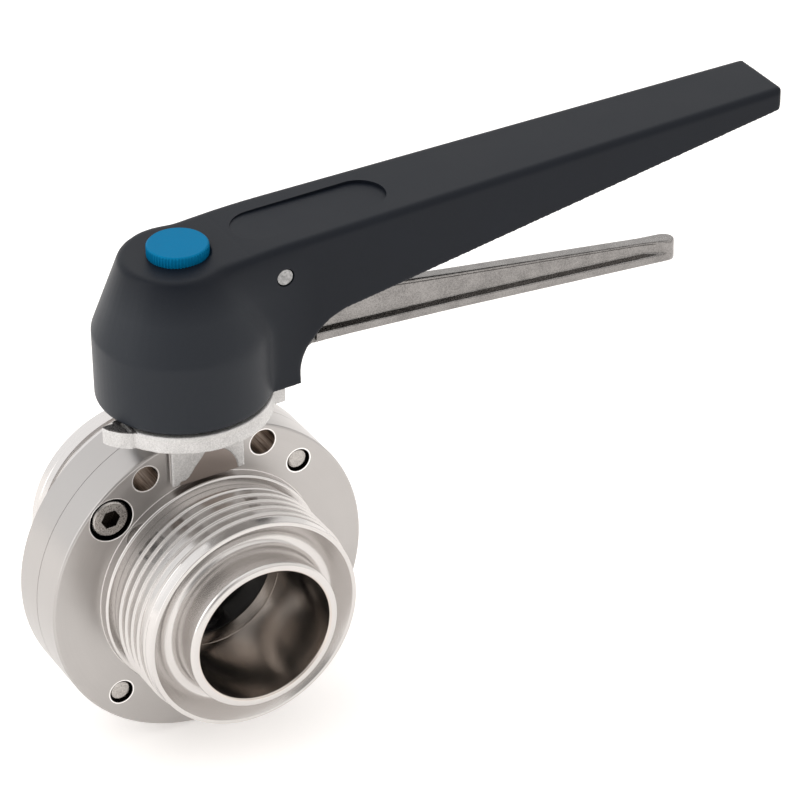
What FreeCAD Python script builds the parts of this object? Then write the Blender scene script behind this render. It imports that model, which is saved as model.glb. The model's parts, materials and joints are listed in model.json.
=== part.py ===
import FreeCAD, Part
import Sketcher
import math
import os

# Sanitary butterfly valve with a multi-position grip handle.
# Frame: origin where the pipe axis crosses the stem axis, pipe along Y, stem up along Z,
# handle along +X with the valve closed. All lengths in millimetres, angles in degrees.

V = FreeCAD.Vector
doc = FreeCAD.newDocument("valve")
sheet = doc.addObject("Spreadsheet::Sheet", "Sizes")

# Driving sizes: name and value.
SIZES = [
    ("bore_dia", 47.6), ("flange_dia", 114.6), ("half_thick", 12.7), ("flange_bevel", 0.6),
    ("collar_dia", 80.4), ("collar_length", 4.1), ("neck_dia", 74.4), ("neck_length", 4.4),
    ("thread_dia", 78.0), ("thread_length", 20.2), ("thread_pitch", 4.233),
    ("thread_depth", 1.75), ("crest_width", 0.7), ("rim_dia", 76.0), ("rim_length", 3.1),
    ("rim_wall", 1.5), ("cup_depth", 6.2), ("cup_floor_width", 3.5), ("nozzle_wall", 3.2),
    ("nozzle_length", 7.5), ("nozzle_round", 1.3),
    ("seat_wall", 6.2), ("seat_lip", 1.7), ("seat_proud", 0.3), ("rib_height", 2.0),
    ("rib_half_width", 4.0), ("snug_gap", 0.05), ("free_gap", 0.3),
    ("stem_dia", 14.0), ("run_gap", 0.06), ("bush_wall", 2.0), ("gland_gap", 0.2),
    ("bush_offset", 5.6), ("low_bush_cover", 10.3), ("tang_side", 9.0), ("tang_depth", 9.0),
    ("square_side", 10.0), ("shoulder_height", 6.8), ("stem_top_gap", 0.5),
    ("disc_edge_thick", 3.6), ("disc_mid_thick", 9.0), ("disc_hub_dia", 17.0), ("pad_rim", 2.0),
    ("boss_width", 25.1), ("boss_depth", 1.4), ("boss_rise", 2.9), ("boss_gap", 0.8),
    ("screw_edge", 8.5), ("screw_dia", 8.0), ("screw_head_dia", 13.0), ("screw_head", 8.0),
    ("screw_sink", 0.4), ("counterbore_gap", 1.2), ("screw_hex", 6.0), ("screw_end_sink", 0.5),
    ("hole_edge", 6.5), ("hole_dia", 9.0), ("hole_angle", 25.0),
    ("ring_dia", 58.6), ("ring_height", 6.2), ("ring_wall", 3.0), ("tray_height", 2.8),
    ("ear_rise", 5.8), ("ear_width", 8.6), ("ear_shift", 10.3), ("ear_round", 3.4),
    ("ear_sink", 1.6), ("ear_lip", 1.0), ("bracket_wall", 1.5), ("bracket_side_gap", 0.6),
    ("foot_gap", 1.1),
    ("arch_dia", 21.2), ("bracket_hole_gap", 0.44), ("rack_dia", 44.0), ("rack_wall", 4.0),
    ("rack_height", 4.2), ("notch_depth", 2.6), ("notch_step", 30.0),
    ("small_screw_dia", 4.0), ("small_screw_x", 9.6), ("small_screw_y", 10.0),
    ("small_screw_length", 12.0), ("small_head_dia", 7.2),
    ("hood_dia", 58.4), ("hood_gap", 0.8), ("shoulder_rise", 24.3), ("hub_height", 50.5),
    ("deck_margin", 1.2), ("hood_wall", 3.0), ("deck_thick", 3.0), ("insert_wall", 3.0),
    ("hood_boss_gap", 1.4), ("ramp_rise", 2.1), ("deck_rise", 1.8), ("ramp_end", 18.0),
    ("arm_length", 224.2), ("arm_root_width", 37.4), ("arm_tip_width", 26.4), ("arm_wall", 2.8),
    ("gusset_offset", 4.9), ("gusset_round", 21.5), ("arm_depth", 27.0), ("arm_tip_thick", 8.2),
    ("tip_solid", 14.0), ("tip_corner", 1.2), ("label_start", 19.8), ("label_end", 75.2),
    ("label_width", 18.8), ("label_depth", 0.6), ("deck_round", 2.2),
    ("insert_dia", 26.0), ("washer_height", 1.1), ("insert_height", 34.9), ("insert_cap", 5.0),
    ("lock_washer_thick", 1.6), ("lock_washer_dia", 11.0),
    ("handle_screw_dia", 6.0), ("handle_screw_head_dia", 10.0), ("handle_screw_head", 6.0),
    ("handle_screw_length", 20.0), ("handle_screw_hex", 5.0),
    ("knob_dia", 20.4), ("knob_height", 4.0), ("plug_dia", 17.0), ("plug_depth", 5.6),
    ("rib_count", 60.0), ("knob_rib_depth", 0.7),
    ("pivot_x", 29.2), ("pivot_drop", 8.9), ("pin_dia", 6.0), ("pin_sink", 0.4),
    ("lever_thick", 7.0), ("web_thick", 3.2), ("lever_short", 33.2), ("lever_boss_wall", 3.5),
    ("lever_rim", 2.6), ("tooth_gap", 0.9), ("tooth_height", 4.6),
    ("lever_heel_x", 46.0), ("heel_drop", 37.5), ("lever_tip_drop", 47.8),
    ("lever_tip_thick", 6.8), ("lever_bend_x", 100.0), ("bend_drop", 27.8),
    ("lever_shoulder_x", 58.0), ("lever_shoulder_drop", 21.2), ("spring_inner_gap", 0.35),
    ("spring_wire", 1.3), ("spring_dia", 14.0), ("spring_turns", 4.0), ("spring_hook_x", 50.0),
    ("spring_hook_drop", 13.9),
]
for row, (alias, value) in enumerate(SIZES, start=1):
    sheet.set("A%d" % row, alias)
    sheet.set("B%d" % row, str(value))
    sheet.setAlias("B%d" % row, alias)
doc.recompute()


class Size:
    """A length that carries its number and the sheet expression it comes from."""

    def __init__(self, value, text):
        self.value = float(value)
        self.text = text

    def _join(self, other, sign, swap=False):
        if not isinstance(other, Size):
            other = Size(other, repr(float(other)))
        a, b = (other, self) if swap else (self, other)
        numbers = {"+": a.value + b.value, "-": a.value - b.value, "*": a.value * b.value}
        value = numbers[sign] if sign in numbers else a.value / b.value
        return Size(value, "(%s %s %s)" % (a.text, sign, b.text))

    def __add__(self, other):
        return self._join(other, "+")

    def __radd__(self, other):
        return self._join(other, "+", True)

    def __sub__(self, other):
        return self._join(other, "-")

    def __rsub__(self, other):
        return self._join(other, "-", True)

    def __mul__(self, other):
        return self._join(other, "*")

    def __rmul__(self, other):
        return self._join(other, "*", True)

    def __truediv__(self, other):
        return self._join(other, "/")

    def __neg__(self):
        return Size(-self.value, "(0 - %s)" % self.text)


class Sizes:
    """Reads a driving size by its alias."""

    def __getattr__(self, alias):
        return Size(sheet.get(alias), "<<Sizes>>.%s" % alias)


S = Sizes()
sheet.Label = "Sizes"
NODES = []


def number(size):
    return size.value if isinstance(size, Size) else float(size)


def bind(obj, prop, size):
    """Sets a property and ties it to the sheet."""
    if isinstance(size, Size):
        obj.setExpression(prop, size.text)
    else:
        setattr(obj, prop, size)


def place(obj, x=0.0, y=0.0, z=0.0, rotation=None):
    """Gives an object its placement, tied to the sheet."""
    turn = rotation if rotation is not None else FreeCAD.Rotation()
    obj.Placement = FreeCAD.Placement(V(number(x), number(y), number(z)), turn)
    for axis, size in (("x", x), ("y", y), ("z", z)):
        if isinstance(size, Size):
            obj.setExpression("Placement.Base.%s" % axis, size.text)


def node(obj, name):
    """Marks an object as a sub-part of the valve."""
    obj.Label = name
    NODES.append(obj)
    return obj


# Sketch helpers.

def plane_of(body, role):
    return [f for f in body.Origin.OriginFeatures if f.Role == role][0]


def sketch_on(body, role, name):
    sk = body.newObject("Sketcher::SketchObject", name)
    sk.AttachmentSupport = [(plane_of(body, role), "")]
    sk.MapMode = "FlatFace"
    return sk


def pin_point(sk, geo, end, x, y):
    """Ties one end of a line to its sheet coordinates."""
    for kind, size in (("DistanceX", x), ("DistanceY", y)):
        value = number(size)
        if not isinstance(size, Size) and value == 0.0:
            axis = -2 if kind == "DistanceX" else -1
            sk.addConstraint(Sketcher.Constraint("PointOnObject", geo, end, axis))
            continue
        if value < 0:
            index = sk.addConstraint(Sketcher.Constraint(kind, geo, end, -1, 1, -value))
            size = -size
        else:
            index = sk.addConstraint(Sketcher.Constraint(kind, -1, 1, geo, end, value))
        if isinstance(size, Size):
            sk.setExpression("Constraints[%d]" % index, size.text)


def arc_between(a, b, radius):
    """Arc from a to b; a positive radius bulges to the right of the way from a to b."""
    ax, ay = a
    bx, by = b
    chord = math.hypot(bx - ax, by - ay)
    rise = math.sqrt(max(radius * radius - chord * chord / 4.0, 0.0))
    nx, ny = -(by - ay) / chord, (bx - ax) / chord
    side = 1.0 if radius > 0 else -1.0
    cx = (ax + bx) / 2.0 + side * rise * nx
    cy = (ay + by) / 2.0 + side * rise * ny
    start = math.atan2(ay - cy, ax - cx)
    end = math.atan2(by - cy, bx - cx)
    if side < 0:
        start, end = end, start
    circle = Part.Circle(V(cx, cy, 0), V(0, 0, 1), abs(radius))
    return Part.ArcOfCircle(circle, start, end)


def outline(sk, points, arcs=None):
    """Closed outline through the points; arcs maps a point's index to the radius to the next."""
    arcs = arcs or {}
    flat = [(number(x), number(y)) for x, y in points]
    count = len(flat)
    ends = []
    for i in range(count):
        a, b = flat[i], flat[(i + 1) % count]
        if i in arcs:
            radius = number(arcs[i])
            geo = sk.addGeometry(arc_between(a, b, radius), False)
            ends.append((geo, 1, 2) if radius > 0 else (geo, 2, 1))
        else:
            geo = sk.addGeometry(Part.LineSegment(V(a[0], a[1], 0), V(b[0], b[1], 0)), False)
            ends.append((geo, 1, 2))
    for i in range(count):
        geo, first, last = ends[i]
        after, begin, stop = ends[(i + 1) % count]
        sk.addConstraint(Sketcher.Constraint("Coincident", geo, last, after, begin))
    for i in range(count):
        geo, first, last = ends[i]
        pin_point(sk, geo, first, points[i][0], points[i][1])
    for i, radius in arcs.items():
        value = abs(number(radius))
        index = sk.addConstraint(Sketcher.Constraint("Radius", ends[i][0], value))
        if isinstance(radius, Size):
            text = radius.text if radius.value > 0 else (-radius).text
            sk.setExpression("Constraints[%d]" % index, text)


def circle(sk, x, y, dia):
    geo = sk.addGeometry(Part.Circle(V(number(x), number(y), 0), V(0, 0, 1), number(dia) / 2))
    pin_point(sk, geo, 3, x, y)
    index = sk.addConstraint(Sketcher.Constraint("Diameter", geo, number(dia)))
    if isinstance(dia, Size):
        sk.setExpression("Constraints[%d]" % index, dia.text)


def box_outline(sk, x0, y0, x1, y1):
    outline(sk, [(x0, y0), (x1, y0), (x1, y1), (x0, y1)])


def pad(body, sk, name, length, midplane=False, reverse=False):
    f = body.newObject("PartDesign::Pad", name)
    f.Profile = sk
    bind(f, "Length", length)
    f.SideType = "Symmetric" if midplane else "One side"
    f.Reversed = reverse
    sk.Visibility = False
    return f


def pocket(body, sk, name, length, midplane=False, reverse=False):
    before = volume(body)
    f = body.newObject("PartDesign::Pocket", name)
    f.Profile = sk
    bind(f, "Length", length)
    f.SideType = "Symmetric" if midplane else "One side"
    f.Reversed = reverse
    doc.recompute()
    require_less(body, before, name)
    return f


def revolve(body, sk, name, axis="V_Axis"):
    f = body.newObject("PartDesign::Revolution", name)
    f.Profile = sk
    f.ReferenceAxis = (sk, [axis])
    f.Angle = 360.0
    return f


def groove(body, sk, name, axis="V_Axis"):
    before = volume(body)
    f = body.newObject("PartDesign::Groove", name)
    f.Profile = sk
    f.ReferenceAxis = (sk, [axis])
    f.Angle = 360.0
    doc.recompute()
    require_less(body, before, name)
    return f


def volume(body):
    doc.recompute()
    return body.Shape.Volume


def require_less(body, before, name):
    if not body.Shape.Volume < before:
        raise RuntimeError("%s cut nothing" % name)


def new_body(name):
    return node(doc.addObject("PartDesign::Body", name), name)


# Primitive helpers.

def cylinder(name, dia, height, x=0.0, y=0.0, z=0.0, rotation=None):
    obj = doc.addObject("Part::Cylinder", name)
    bind(obj, "Radius", dia / 2)
    bind(obj, "Height", height)
    place(obj, x, y, z, rotation)
    return obj


def block(name, lx, ly, lz, x, y, z):
    obj = doc.addObject("Part::Box", name)
    bind(obj, "Length", lx)
    bind(obj, "Width", ly)
    bind(obj, "Height", lz)
    place(obj, x, y, z)
    return obj


def cut(name, base, tool):
    obj = doc.addObject("Part::Cut", name)
    obj.Base = base
    obj.Tool = tool
    return obj


def fuse(name, *parts):
    obj = doc.addObject("Part::MultiFuse", name)
    obj.Shapes = list(parts)
    obj.Refine = True
    return obj


def common(name, *parts):
    obj = doc.addObject("Part::MultiCommon", name)
    obj.Shapes = list(parts)
    return obj


TO_FRONT = FreeCAD.Rotation(V(1, 0, 0), 90)
TO_REAR = FreeCAD.Rotation(V(0, 0, 1), 180).multiply(TO_FRONT)
ALONG_Y = FreeCAD.Rotation(V(1, 0, 0), -90)

# Sizes that several pieces share.
bore_r = S.bore_dia / 2
flange_r = S.flange_dia / 2
seat_r = bore_r + S.seat_wall
seat_half_width = S.half_thick - S.seat_lip
seat_bore_r = bore_r - S.seat_proud
stem_r = S.stem_dia / 2
run_r = stem_r + S.run_gap
bush_r = run_r + S.bush_wall
bush_start = seat_r + S.bush_offset
gland_height = S.bush_wall + S.gland_gap
low_bush_end = flange_r - S.low_bush_cover
disc_r = seat_bore_r - S.free_gap
hub_flat = disc_r - 1.7
screw_r = flange_r - S.screw_edge
counterbore_dia = S.screw_head_dia + 2 * S.counterbore_gap
hole_r = flange_r - S.hole_edge
head_seat = S.half_thick - S.screw_sink - S.screw_head

# Stations along the pipe.
collar_end = S.half_thick + S.collar_length
neck_end = collar_end + S.neck_length
thread_end = neck_end + S.thread_length
rim_end = thread_end + S.rim_length
nozzle_end = rim_end + S.nozzle_length
boss_front = S.half_thick + S.boss_depth

# Heights up the stem.
boss_root = S.collar_dia / 2 + S.boss_gap
boss_top = flange_r + S.boss_rise
bracket_foot = S.collar_dia / 2 + S.foot_gap
tray_floor = boss_top + S.tray_height
ring_top = boss_top + S.ring_height
rack_top = ring_top + S.rack_height
stem_shoulder = boss_top + S.shoulder_height
hood_bottom = ring_top + S.hood_gap
hood_shoulder = hood_bottom + S.shoulder_rise
hood_boss_bottom = rack_top + S.hood_boss_gap
hub_deck = hood_bottom + S.hub_height
deck_start = hub_deck + S.ramp_rise
deck_end = deck_start + S.deck_rise
arm_under_start = hub_deck - S.arm_depth
insert_bottom = tray_floor + S.washer_height
insert_top = insert_bottom + S.insert_height
stem_top = insert_top - S.insert_cap - S.stem_top_gap
pivot_z = hub_deck - S.pivot_drop
tooth_bottom = ring_top + S.tooth_gap

# Widths of the bracket and the handle.
tray_dia = S.ring_dia - 2 * S.ring_wall
ear_reach = S.ring_dia / 2 + S.ear_rise
bracket_width = S.boss_width + 2 * S.bracket_side_gap
bracket_hole_dia = 2 * (bush_r + S.bracket_hole_gap)
rack_inner_dia = S.rack_dia - 2 * S.rack_wall
notch_width = S.lever_thick + 2 * S.free_gap
hub_deck_dia = S.arm_root_width + S.deck_margin
boss_dia = S.insert_dia + 2 * S.insert_wall
gusset_x = S.hood_dia / 2 + S.gusset_offset
lever_end = S.arm_length - S.lever_short
lever_boss_dia = S.pin_dia + 2 * S.lever_boss_wall
spacer_dia = S.spring_dia - S.spring_wire - 2 * S.spring_inner_gap


def polar(radius, degrees):
    """A point on a pitch circle, tied to the sheet."""
    c = math.cos(math.radians(degrees))
    s = math.sin(math.radians(degrees))
    return radius * c, radius * s


def hole_point(side):
    """Centre of a plain through hole beside the neck, given as side -1 or 1."""
    angle = S.hole_angle
    x = Size(hole_r.value * math.sin(math.radians(angle.value)),
             "(%s * sin(%s * 1deg))" % (hole_r.text, angle.text))
    z = Size(hole_r.value * math.cos(math.radians(angle.value)),
             "(%s * cos(%s * 1deg))" % (hole_r.text, angle.text))
    return (x if side > 0 else -x), z


# Valve body: one flange half used twice, seam face to seam face.

def body_half(name, turn):
    body = new_body(name)
    sk = sketch_on(body, "XZ_Plane", name + "_profile")
    outline(sk, [
        (seat_r + S.rib_height, 0.0),
        (flange_r, 0.0),
        (flange_r, S.half_thick - S.flange_bevel),
        (flange_r - S.flange_bevel, S.half_thick),
        (S.collar_dia / 2, S.half_thick),
        (S.collar_dia / 2, collar_end - S.flange_bevel),
        (S.collar_dia / 2 - S.flange_bevel, collar_end),
        (bore_r, collar_end),
        (bore_r, seat_half_width),
        (seat_r, seat_half_width),
        (seat_r, S.rib_half_width),
        (seat_r + S.rib_height, S.rib_half_width),
    ])
    revolve(body, sk, name + "_turned")
    doc.recompute()
    sk = sketch_on(body, "XY_Plane", name + "_boss_outline")
    box_outline(sk, -(S.boss_width / 2), boss_root, S.boss_width / 2, boss_top)
    pad(body, sk, name + "_boss", boss_front)
    sk = sketch_on(body, "XY_Plane", name + "_stem_bores")
    tall = boss_top + 1.0
    narrow = run_r + S.free_gap
    gland = bush_start - gland_height
    wide = bush_r + S.snug_gap
    outline(sk, [
        (0.0, bore_r), (narrow, bore_r), (narrow, gland), (wide, gland),
        (wide, tall), (0.0, tall),
    ])
    groove(body, sk, name + "_upper_bore")
    sk = sketch_on(body, "XY_Plane", name + "_trunnion_bore_outline")
    outline(sk, [
        (0.0, -bore_r), (narrow, -bore_r), (narrow, -gland), (wide, -gland),
        (wide, -low_bush_end), (0.0, -low_bush_end),
    ])
    groove(body, sk, name + "_lower_bore")
    sk = sketch_on(body, "XY_Plane", name + "_clearance_holes")
    for degrees in (135, 315):
        x, y = polar(screw_r, degrees)
        circle(sk, x, y, S.screw_dia + 2 * S.free_gap)
    pocket(body, sk, name + "_clearance", S.half_thick, reverse=True)
    sk = sketch_on(body, "XY_Plane", name + "_counterbores")
    lift(sk, head_seat)
    for degrees in (135, 315):
        x, y = polar(screw_r, degrees)
        circle(sk, x, y, counterbore_dia)
    pocket(body, sk, name + "_counterbore", S.half_thick, reverse=True)
    sk = sketch_on(body, "XY_Plane", name + "_tapped_holes")
    for degrees in (45, 225):
        x, y = polar(screw_r, degrees)
        circle(sk, x, y, S.screw_dia + 2 * S.snug_gap)
    pocket(body, sk, name + "_tapped", S.half_thick, reverse=True)
    sk = sketch_on(body, "XY_Plane", name + "_plain_holes")
    for side in (-1, 1):
        x, y = hole_point(side)
        circle(sk, x, y, S.hole_dia)
    pocket(body, sk, name + "_plain", S.half_thick, reverse=True)
    sk = sketch_on(body, "XZ_Plane", name + "_bracket_screw_holes")
    lift(sk, -boss_top)
    for side in (-1, 1):
        circle(sk, side * S.small_screw_x, S.small_screw_y, S.small_screw_dia + 2 * S.snug_gap)
    pocket(body, sk, name + "_bracket_holes", S.small_screw_length, reverse=True)
    doc.recompute()
    body.Placement = FreeCAD.Placement(V(0, 0, 0), turn)
    return body


# Union end: undercut neck, thread barrel, rim, cup and nozzle on one liner.

def thread_crests():
    """Outline points of the thread's ridges, one ring for each turn of the thread."""
    crest = S.thread_dia / 2
    root = crest - S.thread_depth
    flank = S.thread_depth * 0.4
    half = S.crest_width / 2
    room = S.thread_length - 0.75 - 2 * (flank + half)
    turns = int(number(room) / number(S.thread_pitch)) + 1
    points = []
    for turn in range(turns):
        middle = neck_end + flank + half + 0.75 + turn * S.thread_pitch
        points += [
            (root, middle - half - flank), (crest, middle - half),
            (crest, middle + half), (root, middle + half + flank),
        ]
    return points


def union_end(name, turn):
    body = new_body(name)
    thread_r = S.thread_dia / 2
    rim_r = S.rim_dia / 2
    cup_r = rim_r - S.rim_wall
    tube_r = bore_r + S.nozzle_wall
    floor_r = tube_r + S.cup_floor_width
    floor_y = rim_end - S.cup_depth
    round_in = S.nozzle_round * 0.6
    first = len(thread_crests()) - 1
    sk = sketch_on(body, "XZ_Plane", name + "_profile")
    outline(sk, [
        (bore_r, collar_end),
        (S.neck_dia / 2, collar_end),
        (S.neck_dia / 2, neck_end),
        *thread_crests(),
        (thread_r - S.thread_depth, thread_end),
        (rim_r, thread_end + 0.8),
        (rim_r, rim_end - 0.5),
        (rim_r - 0.5, rim_end),
        (cup_r, rim_end),
        (cup_r - 0.6, rim_end - 1.0),
        (floor_r + 2.4, floor_y + 1.4),
        (floor_r, floor_y),
        (tube_r + 2.4, floor_y),
        (tube_r, floor_y + 3.2),
        (tube_r, nozzle_end - S.nozzle_round),
        (tube_r - S.nozzle_round, nozzle_end),
        (bore_r + round_in, nozzle_end),
        (bore_r, nozzle_end - round_in),
    ], {first + 10: -4.0, first + 12: -4.0, first + 14: S.nozzle_round, first + 16: round_in})
    revolve(body, sk, name + "_turned")
    doc.recompute()
    body.Placement = FreeCAD.Placement(V(0, 0, 0), turn)
    return body


# Rubber seat ring with a rib, pierced top and bottom for the stems.

def seat_seal():
    name = "seat_seal"
    body = new_body(name)
    sk = sketch_on(body, "XY_Plane", name + "_profile")
    outer = seat_r - S.snug_gap
    width = seat_half_width - S.snug_gap
    rib = S.rib_half_width - S.snug_gap
    outline(sk, [
        (seat_bore_r, -width), (outer, -width), (outer, -rib), (outer + S.rib_height, -rib),
        (outer + S.rib_height, rib), (outer, rib), (outer, width), (seat_bore_r, width),
    ])
    revolve(body, sk, name + "_ring")
    for side, label in ((1, "upper"), (-1, "lower")):
        sk = sketch_on(body, "XY_Plane", "%s_%s_pad_outline" % (name, label))
        lift(sk, side * (hub_flat + S.free_gap))
        circle(sk, 0.0, 0.0, S.disc_hub_dia + S.pad_rim)
        pad(body, sk, "%s_%s_pad" % (name, label), outer - 3.0 - hub_flat, reverse=(side < 0))
    doc.recompute()
    sk = sketch_on(body, "XY_Plane", name + "_stem_hole")
    circle(sk, 0.0, 0.0, 2 * run_r)
    pocket(body, sk, name + "_stem_passage", 2 * (outer + S.rib_height) + 2, midplane=True)
    return body


# Disc with its hub, square sockets top and bottom.

def disc():
    name = "disc"
    body = new_body(name)
    edge = S.disc_edge_thick / 2
    mid = S.disc_mid_thick / 2
    hub_r = S.disc_hub_dia / 2
    sk = sketch_on(body, "XY_Plane", name + "_lens_profile")
    outline(sk, [
        (0.0, -mid), (disc_r * 0.45, -(mid * 0.86)), (disc_r - 1.0, -edge), (disc_r, -(edge - 1.0)),
        (disc_r, edge - 1.0), (disc_r - 1.0, edge), (disc_r * 0.45, mid * 0.86), (0.0, mid),
    ])
    revolve(body, sk, name + "_lens")
    sk = sketch_on(body, "XZ_Plane", name + "_hub_profile")
    outline(sk, [
        (0.0, -hub_flat), (hub_r - 0.8, -hub_flat), (hub_r, -(hub_flat - 0.8)),
        (hub_r, -(hub_flat - 6.0)), (hub_r, hub_flat - 6.0), (hub_r, hub_flat - 0.8),
        (hub_r - 0.8, hub_flat), (0.0, hub_flat),
    ], {3: -60.0})
    revolve(body, sk, name + "_hub")
    half = S.tang_side / 2 + S.snug_gap
    depth = S.tang_depth + S.free_gap
    for side, label in ((1, "upper"), (-1, "lower")):
        sk = sketch_on(body, "XY_Plane", "%s_%s_flat_outline" % (name, label))
        lift(sk, side * hub_flat)
        circle(sk, 0.0, 0.0, S.disc_hub_dia + S.pad_rim)
        pocket(body, sk, "%s_%s_flat" % (name, label), S.bore_dia, reverse=(side > 0))
        sk = sketch_on(body, "XY_Plane", "%s_%s_socket" % (name, label))
        lift(sk, side * hub_flat)
        box_outline(sk, -half, -half, half, half)
        pocket(body, sk, "%s_%s_square" % (name, label), depth, reverse=(side < 0))
    return body


# Stems.

def upper_stem():
    half = S.tang_side
    start = hub_flat + S.run_gap
    shaft = cylinder("upper_stem_shaft", S.stem_dia, stem_shoulder - start, z=start)
    tang = block("upper_stem_tang", half, half, S.tang_depth + 1.0,
                 -(half / 2), -(half / 2), start - S.tang_depth)
    square = block("upper_stem_square", S.square_side, S.square_side,
                   stem_top - stem_shoulder + 1.0,
                   -(S.square_side / 2), -(S.square_side / 2), stem_shoulder - 1.0)
    limit = cylinder("upper_stem_limit", S.stem_dia, stem_top - start + S.tang_depth,
                     z=start - S.tang_depth)
    solid = fuse("upper_stem_solid", shaft, tang, common("upper_stem_drive", square, limit))
    tapped = cylinder("upper_stem_tapping", S.handle_screw_dia + 2 * S.snug_gap,
                      S.handle_screw_length, z=stem_top - S.handle_screw_length + 2.0)
    return node(cut("upper_stem_cut", solid, tapped), "upper_stem")


def lower_stem():
    start = hub_flat + S.run_gap
    bottom = low_bush_end - S.free_gap
    shaft = cylinder("lower_stem_shaft", S.stem_dia, bottom - start, z=-bottom)
    half = S.tang_side
    tang = block("lower_stem_tang", half, half, S.tang_depth + 1.0,
                 -(half / 2), -(half / 2), -start - 1.0)
    return node(fuse("lower_stem_solid", shaft, tang), "lower_stem")


def tube(name, outer_dia, inner_dia, height, z):
    outer = cylinder(name + "_outer", outer_dia, height, z=z)
    inner = cylinder(name + "_inner", inner_dia, height + 2.0, z=z - 1.0)
    return node(cut(name + "_tube", outer, inner), name)


def o_rings():
    wire = (bush_r + S.snug_gap - stem_r) / 2 - S.snug_gap
    middle = bush_start - gland_height / 2
    rings = []
    for label, z in (("upper", middle), ("lower", -middle)):
        ring = doc.addObject("Part::Torus", "o_ring_" + label)
        bind(ring, "Radius1", (bush_r + S.snug_gap + stem_r) / 2)
        bind(ring, "Radius2", wire)
        place(ring, z=z)
        rings.append(ring)
    group = doc.addObject("Part::Compound", "o_ring_pair")
    group.Links = rings
    return node(group, "stem_o_rings")


# Position bracket: notched ring plate with two ears on a two-walled saddle.

def position_bracket():
    name = "position_bracket"
    body = new_body(name)
    rise = ring_top - boss_top
    sk = sketch_on(body, "XY_Plane", name + "_ring_outline")
    lift(sk, boss_top)
    circle(sk, 0.0, 0.0, S.ring_dia)
    pad(body, sk, name + "_ring", rise)
    sk = sketch_on(body, "XY_Plane", name + "_ear_outline")
    lift(sk, boss_top)
    for side in (-1, 1):
        ear_outline(sk, side, 0.0, S.ring_dia / 2 - 8.0)
    pad(body, sk, name + "_ears", rise)
    sk = sketch_on(body, "XY_Plane", name + "_ear_sink_outline")
    lift(sk, ring_top - S.ear_sink)
    for side in (-1, 1):
        ear_outline(sk, side, S.ear_lip, S.ring_dia / 2 - 3.4)
    pocket(body, sk, name + "_ear_sinks", S.ear_sink, reverse=True)
    sk = sketch_on(body, "XY_Plane", name + "_tray_outline")
    lift(sk, tray_floor)
    circle(sk, 0.0, 0.0, tray_dia)
    pocket(body, sk, name + "_tray", ring_top, reverse=True)
    sk = sketch_on(body, "XY_Plane", name + "_rack_outline")
    lift(sk, tray_floor - 0.5)
    circle(sk, 0.0, 0.0, S.rack_dia)
    circle(sk, 0.0, 0.0, rack_inner_dia)
    pad(body, sk, name + "_rack", rack_top - tray_floor + 0.5)
    sk = sketch_on(body, "XY_Plane", name + "_notch_outline")
    lift(sk, ring_top + 0.2)
    box_outline(sk, S.rack_dia / 2 - S.notch_depth, -(notch_width / 2),
                S.rack_dia / 2 + 3.0, notch_width / 2)
    first = pocket(body, sk, name + "_notch", rack_top, reverse=True)
    turns = body.newObject("PartDesign::PolarPattern", name + "_notches")
    turns.Originals = [first]
    turns.Axis = (sk, ["N_Axis"])
    turns.Angle = 360.0
    turns.Occurrences = int(round(360.0 / S.notch_step.value))
    turns.setExpression("Occurrences", "round(360 / <<Sizes>>.notch_step)")
    body.Tip = turns
    doc.recompute()
    sk = sketch_on(body, "XZ_Plane", name + "_wall_outline")
    half = bracket_width / 2
    box_outline(sk, -half, bracket_foot, half, boss_top + 0.5)
    pad(body, sk, name + "_walls", 2 * (boss_front + S.snug_gap + S.bracket_wall),
        midplane=True)
    doc.recompute()
    sk = sketch_on(body, "XZ_Plane", name + "_arch_outline")
    circle(sk, 0.0, bracket_foot, S.arch_dia)
    pocket(body, sk, name + "_arches", S.ring_dia, midplane=True)
    sk = sketch_on(body, "XZ_Plane", name + "_saddle_outline")
    box_outline(sk, -half - 1.0, bracket_foot - 1.0, half + 1.0, boss_top)
    pocket(body, sk, name + "_saddle", 2 * (boss_front + S.snug_gap), midplane=True)
    sk = sketch_on(body, "XY_Plane", name + "_stem_hole_outline")
    lift(sk, boss_top - 1.0)
    circle(sk, 0.0, 0.0, bracket_hole_dia)
    pocket(body, sk, name + "_stem_hole", ring_top, reverse=True)
    sk = sketch_on(body, "XY_Plane", name + "_screw_hole_outline")
    lift(sk, boss_top - 1.0)
    for x, y in small_screw_points():
        circle(sk, x, y, S.small_screw_dia + 2 * S.snug_gap)
    pocket(body, sk, name + "_screw_holes", ring_top, reverse=True)
    sk = sketch_on(body, "XY_Plane", name + "_screw_sink_outline")
    lift(sk, tray_floor - small_head())
    for x, y in small_screw_points():
        circle(sk, x, y, S.small_head_dia + 2 * S.snug_gap)
    pocket(body, sk, name + "_screw_sinks", small_head() + 1.0, reverse=True)
    return body


def small_head():
    """Height of a bracket screw's head, which ends flush with the tray floor."""
    return (tray_floor - boss_top) * 0.7


def small_screw_points():
    x, y = S.small_screw_x, S.small_screw_y
    return [(x, y), (-x, y), (-x, -y), (x, -y)]


def lift(sk, z):
    """Raises a sketch above its plane."""
    sk.AttachmentOffset = FreeCAD.Placement(V(0, 0, number(z)), FreeCAD.Rotation())
    if isinstance(z, Size):
        sk.setExpression("AttachmentOffset.Base.z", z.text)


def ear_outline(sk, side, inset, inner):
    """Outline of one ear of the bracket, beside the front of its ring."""
    reach = ear_reach - inset
    low = -(S.ear_shift + S.ear_width / 2) + inset
    high = -(S.ear_shift - S.ear_width / 2) - inset
    r = S.ear_round - inset
    outline(sk, [
        (side * inner, low), (side * (reach - r), low), (side * reach, low + r),
        (side * reach, high - r), (side * (reach - r), high), (side * inner, high),
    ], {1: side * r, 3: side * r})


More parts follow.
